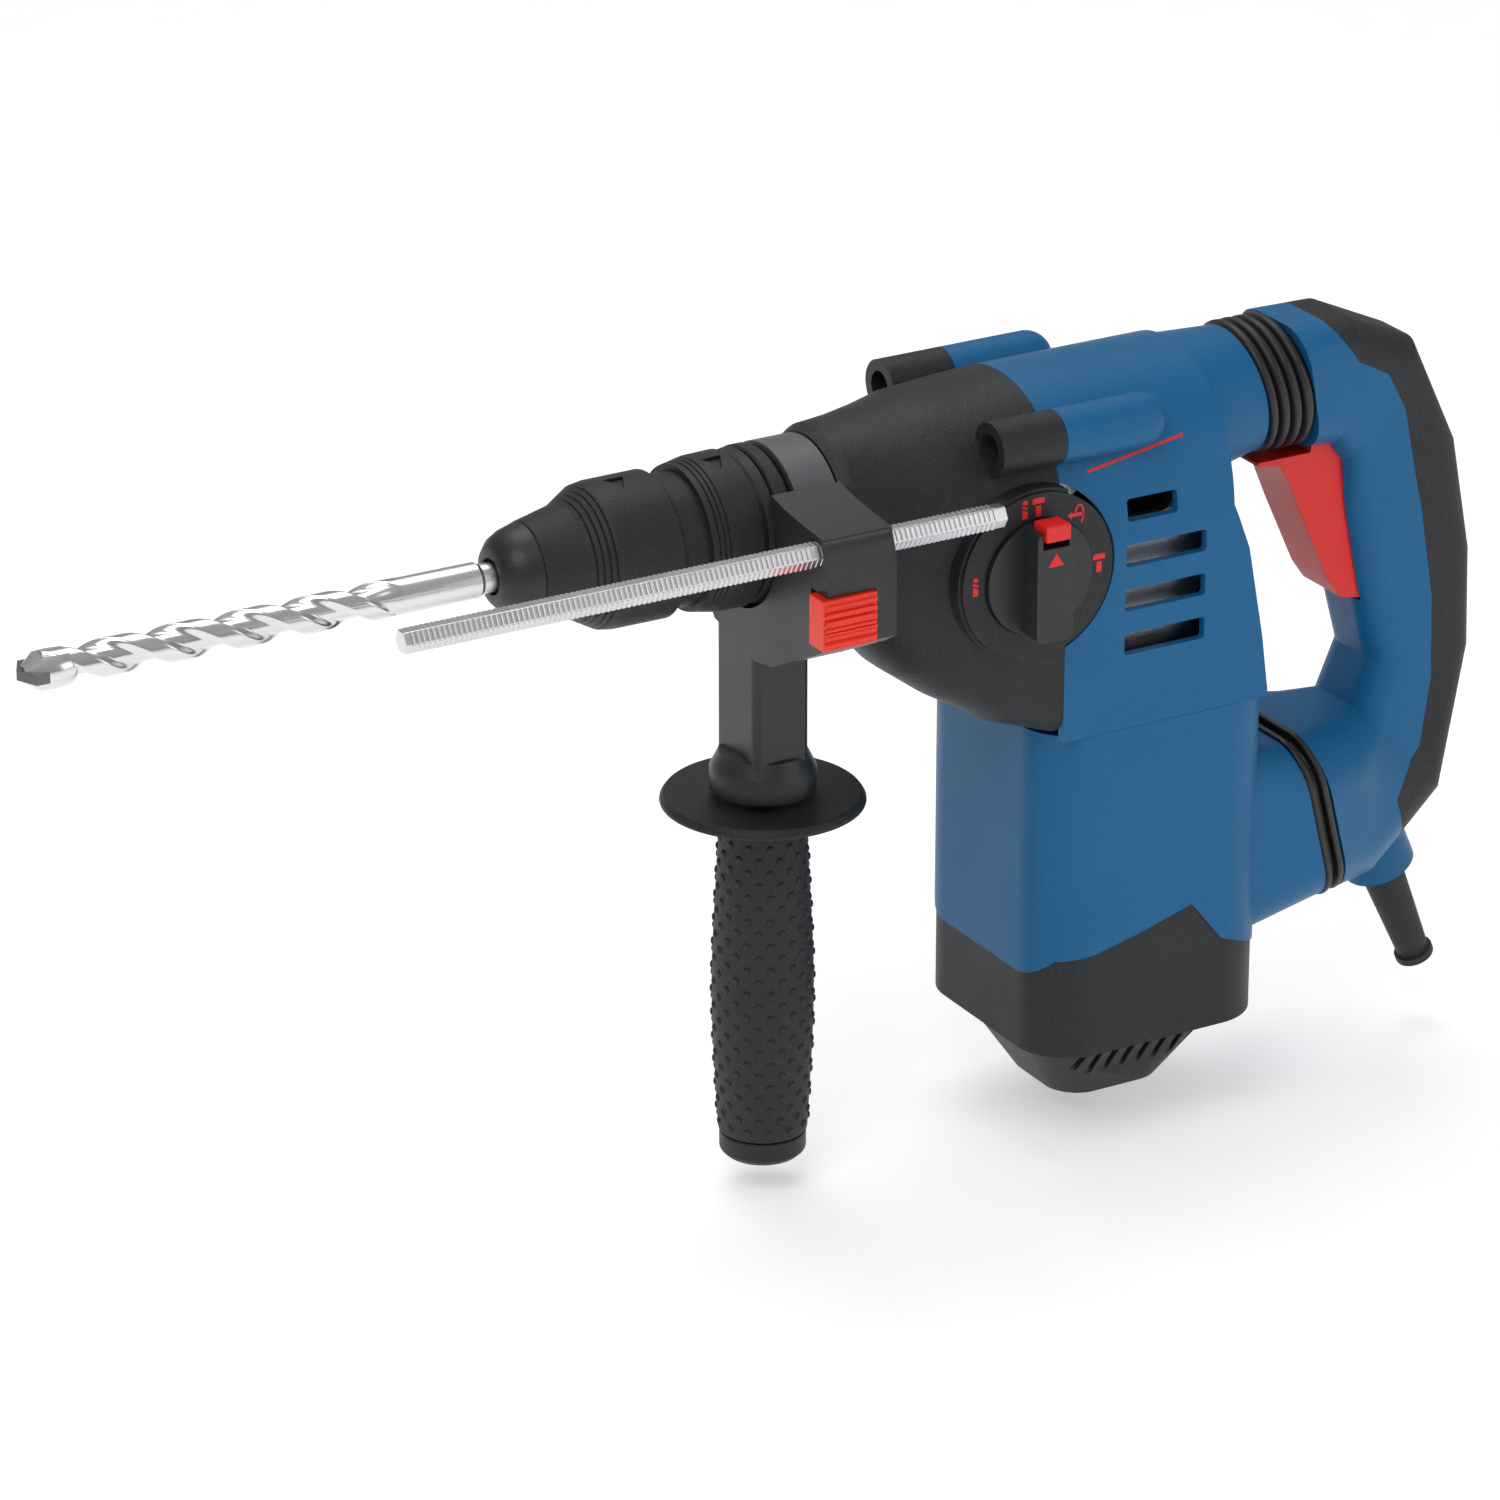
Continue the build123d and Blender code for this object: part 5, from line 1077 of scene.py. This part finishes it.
class MasonryDrill(SubAssembly):
    """The drill: twisted flutes, plain shank and carbide plate."""

    def build(self) -> None:
        """Grow the flutes and turn the shank."""
        recipe = flute_recipe(GROUND_STEEL)
        flutes = recipe.grow("drill_flutes", {"Front": -0.1535, "Back": -0.033, "Steps": 320})
        self.join_body(smooth(flutes, 40), "drill_bit")
        low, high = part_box("drill_bit")
        collar = 5.8
        outline = [
            (-34.0, 0.4), (-34.0, 5.6), (-32.6, collar), (-5.6, collar), (-4.2, 4.9),
            (high.x / MM - 1.0, 4.9), (high.x / MM, 4.0), (high.x / MM, 0.4),
        ]
        shank = lathe("drill_shank", outline, 64)
        dress(smooth(shank, 30), DRAWN_STEEL)
        self.join_body(shank, "drill_bit")
        head = self._head()
        self.stand_for(head, "drill_bit")
        self.refine("carbide_tip", SINTERED_CARBIDE, 0.15)

    @staticmethod
    def _head() -> bpy.types.Object:
        """Return the drill's head: a cone with two flats that holds the plate."""
        outline = [
            (-160.0, 0.3), (-160.0, 2.6), (-155.5, 6.3), (-151.0, 6.6),
            (-146.0, 6.2), (-144.0, 5.0), (-144.0, 0.3),
        ]
        head = lathe("drill_head", outline, 64)
        for side in (-1, 1):
            place = Matrix.Translation((-0.152, 0.0, side * 0.0086))
            slab = [(-12, -9), (6, -9), (11, 9), (-12, 9)]
            cutter = prism("flat_cutter", slab, -3.4, 3.4, place)
            cut(head, cutter)
        return dress(smooth(head, 30), GROUND_STEEL)


class GearHead(SubAssembly):
    """The black gear case with its mode selector."""

    def build(self) -> None:
        """Soften the case, dress the selector and print its marks."""
        case = self.refine("gear_case", BLACK_SHELL, 0.7)
        dial = self.refine("dial_plate", BLACK_SHELL, 0.2)
        knob = self.refine("selector_knob", BLACK_SATIN, 0.9)
        self.refine("selector_lock", RED_SATIN, 0.6)
        self._marks(dial)
        self._pointer(knob)
        LOG.info("gear head done on %s", case.name)

    def _marks(self, dial: bpy.types.Object) -> None:
        """Print the mode marks on the dial: drill, hammer and turning shaft."""
        low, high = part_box("dial_plate")
        centre = ((low.x + high.x) / 2 / MM, (low.z + high.z) / 2 / MM)
        drill = [
            [(-1.0, -3.2), (1.0, -3.2), (1.0, -0.9), (-1.0, -0.1)],
            [(-1.0, 0.5), (1.0, -0.3), (1.0, 0.5), (-1.0, 1.3)],
            [(-1.0, 1.9), (0.0, 1.5), (1.0, 1.7), (0.9, 2.6), (0.0, 3.2), (-0.9, 2.8)],
        ]
        hammer = [
            [(-1.0, -3.5), (1.0, -3.5), (1.0, 0.2), (-1.0, 0.2)],
            [(-2.3, 0.9), (2.3, 0.9), (2.3, 2.5), (1.2, 2.9), (-1.5, 2.9), (-2.3, 2.4)],
        ]
        shaft = [
            [(-3.2, 0.0), (-1.5, -1.3), (-1.5, -0.6), (2.9, -0.6), (2.9, 0.6), (-1.5, 0.6), (-1.5, 1.3)],
        ]
        ring = []
        for step in range(9):
            angle = math.radians(-60 + step * 30)
            ring.append((1.3 + 1.9 * math.cos(angle), 3.6 * math.sin(angle)))
        for step in reversed(range(9)):
            angle = math.radians(-60 + step * 30)
            ring.append((1.3 + 1.2 * math.cos(angle), 2.9 * math.sin(angle)))
        marks = [
            ("mark_drill_side", drill, (-23.6, 0.8)),
            ("mark_drill_top", drill, (-5.4, 23.7)),
            ("mark_hammer_top", hammer, (-0.4, 24.0)),
            ("mark_shaft", shaft + [ring], (13.8, 18.4)),
            ("mark_hammer_side", hammer, (23.0, 0.4)),
        ]
        for name, shapes, (dx, dz) in marks:
            parts = []
            for number, outline in enumerate(shapes):
                moved = [(centre[0] + dx + x, centre[1] + dz + z) for x, z in outline]
                parts.append(side_patch(f"{name}_{number}", moved, dial, 0.12, 4.0))
            self.join_body(dress(fuse(parts, name), RED_INK), "dial_plate")

    def _pointer(self, knob: bpy.types.Object) -> None:
        """Print the pointer on the knob's bar."""
        low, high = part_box("selector_knob")
        x = (low.x + high.x) / 2 / MM
        top = high.z / MM
        base = top - 12.6
        outline = [(x - 2.9, base), (x + 2.9, base), (x, base + 4.4)]
        pointer = side_patch("pointer_mark", outline, knob, 0.12, 4.0)
        self.join_body(dress(pointer, RED_INK), "selector_knob")


class MotorBody(SubAssembly):
    """The blue body: upper housing, motor housing and the black motor cap."""

    def build(self) -> None:
        """Soften the shells and dress what shows through their vents."""
        upper = self.refine("upper_housing", BLUE_SHELL, 0.6)
        self.refine("motor_housing", BLUE_SHELL, 0.6)
        self.refine("motor_cap", BLACK_SHELL, 0.7)
        self.refine("lower_bellows", FOLD_RUBBER, 0.9, 50.0)
        self.keep(RED_SATIN, "brush_carrier")
        self.keep(BLACKENED_STEEL, "housing_screws")
        self._stripe(upper)

    def _stripe(self, upper: bpy.types.Object) -> None:
        """Lay the thin red stripe on the upper housing's side."""
        outline = [(197.0, 9.6), (235.0, 14.6), (235.0, 15.5), (197.0, 10.5)]
        stripe = side_patch("accent_stripe", outline, upper, 0.08, 3.0)
        self.join_body(dress(stripe, RED_INK), "upper_housing")


class RearHandle(SubAssembly):
    """The sprung D-shaped handle with its trigger, bellows and cord sleeve."""

    fold_count = 4
    fold_pitch = 4.6
    neck_z = 12.5
    tilt = math.radians(10)

    def build(self) -> None:
        """Soften the shells, turn the neck's bellows and dress the grip."""
        self.refine("left_handle_shell", BLUE_SHELL, 0.5, 40.0)
        self.refine("right_handle_shell", BLUE_SHELL, 0.5, 40.0)
        self.refine("soft_grip", SOFT_RUBBER, 0.5, 40.0)
        self.refine("trigger", RED_SATIN, 1.2)
        self.refine("cord_sleeve", SOFT_RUBBER, 0.4)
        self.keep(BLACK_SATIN, "power_switch")
        self.keep(MACHINED_STEEL, "handle_pins", "damper_spring")
        self.keep(CAST_ALUMINIUM, "pivot_arm")
        self._bellows()

    def _bellows(self) -> None:
        """Turn the neck's bellows, sheared by the tilt, in place of the CAD bellows."""
        front = 277.2
        outside = [(front, 20.6)]
        for fold in range(self.fold_count):
            x = front + 0.4 + fold * self.fold_pitch
            outside += [(x, 22.4), (x + 0.9, 23.0), (x + 2.3, 23.0)]
            outside += [(x + 3.1, 22.3), (x + 3.7, 20.4), (x + 4.2, 20.4)]
        outside += [(front + 0.4 + self.fold_count * self.fold_pitch, 21.2)]
        inside = [(x, 17.5) for x in (outside[-1][0], (front + outside[-1][0]) / 2, front)]
        made = lathe("neck_bellows", outside + inside, 96)
        for vert in made.data.vertices:
            vert.co.x -= vert.co.z * math.tan(self.tilt)
            vert.co.z += self.neck_z * MM
        dress(smooth(made, 60), FOLD_RUBBER)
        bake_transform(made)
        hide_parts("upper_bellows")


class SideHandle(SubAssembly):
    """The clamp-on side handle, its depth rod and the rod's button."""

    rod_apothem = 3.8
    tooth_pitch = 1.8

    def build(self) -> None:
        """Soften the mouldings, grow the nubs and cut the rod's teeth."""
        self.refine("clamp_body", BLACK_SATIN, 0.7)
        self.refine("clamp_band", GREY_BAND, 0.2)
        self.refine("grip_core", BLACK_SHELL, 0.6)
        rubber = self.refine("grip_rubber", SOFT_RUBBER, 0.4)
        self.keep(BLACKENED_STEEL, "tension_bolt")
        nubs = nub_recipe(SOFT_RUBBER).grow(
            "grip_nubs",
            {"Columns": 26, "Rows": 13, "Axis": 0.0985, "Lowest": -0.2108, "Pitch": 0.0085},
            rubber,
        )
        self.join_body(nubs, "grip_rubber")
        self._rod()
        self._button()

    def _rod(self) -> None:
        """Make the depth rod: a six-sided bar with teeth across its flats."""
        low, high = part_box("depth_rod")
        y = (low.y + high.y) / 2 / MM
        z = (low.z + high.z) / 2 / MM
        core = self.rod_apothem - 0.28
        corner = core / math.cos(math.radians(30))
        corners = [
            (corner * math.cos(math.radians(60 * i)), corner * math.sin(math.radians(60 * i)))
            for i in range(6)
        ]
        place = Matrix(((0, 0, 1, 0), (1, 0, 0, y * MM), (0, 1, 0, z * MM), (0, 0, 0, 1)))
        bar = prism("depth_rod_bar", corners, low.x / MM, high.x / MM, place)
        soften(dress(smooth(bar, 20), DRAWN_STEEL), 0.35)
        self.stand_for(bar, "depth_rod")
        recipe = rib_recipe(DRAWN_STEEL)
        length = (high.x - low.x) / MM - 4.0
        count = int(length / self.tooth_pitch)
        for number in range(6):
            normal = math.radians(30 + 60 * number)
            teeth = recipe.grow(
                f"depth_rod_teeth_{number}",
                {
                    "Count": count,
                    "Start X": low.x + 2.4 * MM,
                    "Start Y": (y + core * math.cos(normal)) * MM,
                    "Start Z": (z + core * math.sin(normal)) * MM,
                    "Step X": self.tooth_pitch * MM,
                    "Beam X": 1.15 * MM,
                    "Beam Y": 0.5 * MM,
                    "Beam Z": 3.5 * MM,
                    "Turn": normal,
                },
            )
            self.join_body(smooth(teeth, 30), "depth_rod")

    def _button(self) -> None:
        """Put the finger ribs on the rod's red button."""
        self.refine("rod_button", ORANGE_SATIN, 0.6)
        low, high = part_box("rod_button")
        recipe = rib_recipe(ORANGE_SATIN)
        ribs = recipe.grow(
            "rod_button_ribs",
            {
                "Count": 6,
                "Start X": (low.x + high.x) / 2,
                "Start Y": low.y + 0.1 * MM,
                "Start Z": low.z + 2.2 * MM,
                "Step Z": (high.z - low.z - 4.4 * MM) / 5,
                "Beam X": 1.3 * MM,
                "Beam Y": 1.2 * MM,
                "Beam Z": high.x - low.x - 1.2 * MM,
                "Turn": 0.0,
                "Lie": math.pi / 2,
            },
        )
        self.join_body(smooth(ribs, 30), "rod_button")


class Works(SubAssembly):
    """What the shells hold: motor, gears, hammer mechanism and bearings."""

    def build(self) -> None:
        """Dress the inner parts, some of which show through the vents."""
        self.keep(CAST_ALUMINIUM, "inner_frame", "piston", "connecting_rod")
        self.keep(MACHINED_STEEL, "hammer_tube", "striker", "wrist_pin", "crank_shaft", "armature_shaft")
        self.keep(MACHINED_STEEL, "spindle_bearings", "shaft_bearings", "motor_bearings")
        self.keep(BLACKENED_STEEL, "bevel_ring", "bevel_shaft", "middle_gear", "crank_gear")
        self.keep(BLACKENED_STEEL, "stator", "armature_core")
        self.keep(COPPER_BARS, "commutator")
        self.keep(PRESSED_CARBON, "carbon_brushes")
        self.keep(FOLD_RUBBER, "spindle_seal", "striker_oring")
        self.keep(BLACK_SATIN, "cooling_fan")


def fuse(parts: Sequence[bpy.types.Object], name: str) -> bpy.types.Object:
    """Join meshes at the origin into one piece.

    Args:
        parts: The meshes.
        name: The joined piece's name.

    Returns:
        The joined piece.
    """
    shape = bmesh.new()
    for part in parts:
        shape.from_mesh(part.data)
    mesh = bpy.data.meshes.new(name)
    shape.to_mesh(mesh)
    shape.free()
    for part in parts:
        bpy.data.objects.remove(part)
    made = bpy.data.objects.new(name, mesh)
    bpy.context.scene.collection.objects.link(made)
    return made


# ------------------------------------------------------------------ studio


@dataclass(frozen=True)
class Lamp:
    """A soft area light.

    Attributes:
        name: The light's name.
        place: Where it stands, in metres.
        aim: The point that it faces.
        power: Its power in watts.
        size: Its side in metres.
    """

    name: str
    place: tuple[float, float, float]
    aim: tuple[float, float, float]
    power: float
    size: float

    def add(self) -> None:
        """Put the light in the scene."""
        data = bpy.data.lights.new(self.name, "AREA")
        data.energy = self.power
        data.shape = "SQUARE"
        data.size = self.size
        lamp = bpy.data.objects.new(self.name, data)
        lamp.location = self.place
        lamp.rotation_mode = "QUATERNION"
        lamp.rotation_quaternion = (Vector(self.aim) - Vector(self.place)).to_track_quat("-Z", "Y")
        bpy.context.scene.collection.objects.link(lamp)


class Studio:
    """A pale floor, soft light and the camera."""

    floor_z = -0.235
    camera_place = (-0.9471, -1.8027, 0.8049)
    right = (0.866025, -0.5, 0.0)
    up = (0.195366, 0.338383, 0.920505)
    back = (-0.460252, -0.797181, 0.390731)
    lens = 168.0
    lamps = (
        Lamp("key_light", (-0.9, -0.9, 1.5), (0.12, 0.0, -0.05), 12.0, 1.0),
        Lamp("side_light", (1.3, -1.3, 0.5), (0.2, 0.0, -0.1), 4.0, 0.9),
        Lamp("top_light", (0.3, 0.6, 1.5), (0.15, 0.0, 0.0), 11.0, 1.2),
    )
    sky_low = 0.1
    sky_high = 0.46
    floor_glow = 0.4

    def build(self) -> None:
        """Make the floor, lights, world and camera."""
        self._floor()
        for lamp in self.lamps:
            lamp.add()
        self._world()
        bpy.context.scene.view_settings.view_transform = "Standard"
        self._camera()

    def _world(self) -> None:
        """Make the surroundings: white to the camera, and graded from dark below to pale above."""
        world = bpy.data.worlds.new("studio_white")
        world.use_nodes = True
        nodes, links = world.node_tree.nodes, world.node_tree.links
        sky = nodes["Background"]
        sky.inputs["Color"].default_value = (1.0, 1.0, 1.0, 1.0)
        place = nodes.new("ShaderNodeTexCoord")
        split = nodes.new("ShaderNodeSeparateXYZ")
        grade = nodes.new("ShaderNodeMapRange")
        path = nodes.new("ShaderNodeLightPath")
        seen = nodes.new("ShaderNodeMath")
        seen.operation = "MAXIMUM"
        grade.inputs["From Min"].default_value = -1.0
        grade.inputs["To Min"].default_value = self.sky_low
        grade.inputs["To Max"].default_value = self.sky_high
        links.new(place.outputs["Generated"], split.inputs["Vector"])
        links.new(split.outputs["Z"], grade.inputs["Value"])
        links.new(grade.outputs["Result"], seen.inputs[0])
        links.new(path.outputs["Is Camera Ray"], seen.inputs[1])
        links.new(seen.outputs["Value"], sky.inputs["Strength"])
        bpy.context.scene.world = world

    def _floor(self) -> None:
        """Lay the floor."""
        half = 12.0
        corners = [(-half, -half), (half, -half), (half, half), (-half, half)]
        floor = add_mesh("floor", [(x, y, self.floor_z) for x, y in corners], [(0, 1, 2, 3)])
        finish = Finish("studio_floor", Tone.FLOOR, 0.9, grain=0.00002, fineness=200, specular=0.1)
        dress(floor, finish)
        nodes = floor.data.materials[0].node_tree.nodes
        shader = next(node for node in nodes if node.type == "BSDF_PRINCIPLED")
        shader.inputs["Emission Color"].default_value = (1.0, 1.0, 1.0, 1.0)
        shader.inputs["Emission Strength"].default_value = self.floor_glow

    def _camera(self) -> None:
        """Place the camera at the catalogue's viewing angle."""
        data = bpy.data.cameras.new("camera")
        data.lens = self.lens
        data.sensor_width = 36.0
        data.clip_start = 0.05
        data.clip_end = 60.0
        camera = bpy.data.objects.new("camera", data)
        turn = Matrix((self.right, self.up, self.back)).transposed()
        camera.matrix_world = Matrix.Translation(self.camera_place) @ turn.to_4x4()
        bpy.context.scene.collection.objects.link(camera)
        bpy.context.scene.camera = camera


# ------------------------------------------------------------------ main


def clear_scene() -> None:
    """Remove whatever the start-up file holds."""
    for item in list(bpy.data.objects):
        bpy.data.objects.remove(item)


def corners(box: tuple[Vector, Vector]) -> list[list[float]]:
    """Return a box's two corners as plain lists."""
    return [list(map(float, corner)) for corner in box]


def main() -> None:
    """Build the tool from its frame, piece by piece."""
    logging.basicConfig(level=logging.INFO, format="%(name)s: %(message)s")
    clear_scene()
    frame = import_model()
    Studio().build()
    order: Sequence[Callable[[dict], SubAssembly]] = (
        Works, Chuck, MasonryDrill, GearHead, MotorBody, RearHandle, SideHandle,
    )
    for kind in order:
        assembly = kind(frame)
        assembly.build()
        LOG.info("%s is built", type(assembly).__name__)
    bpy.context.view_layer.update()


if __name__ == "__main__":
    main()
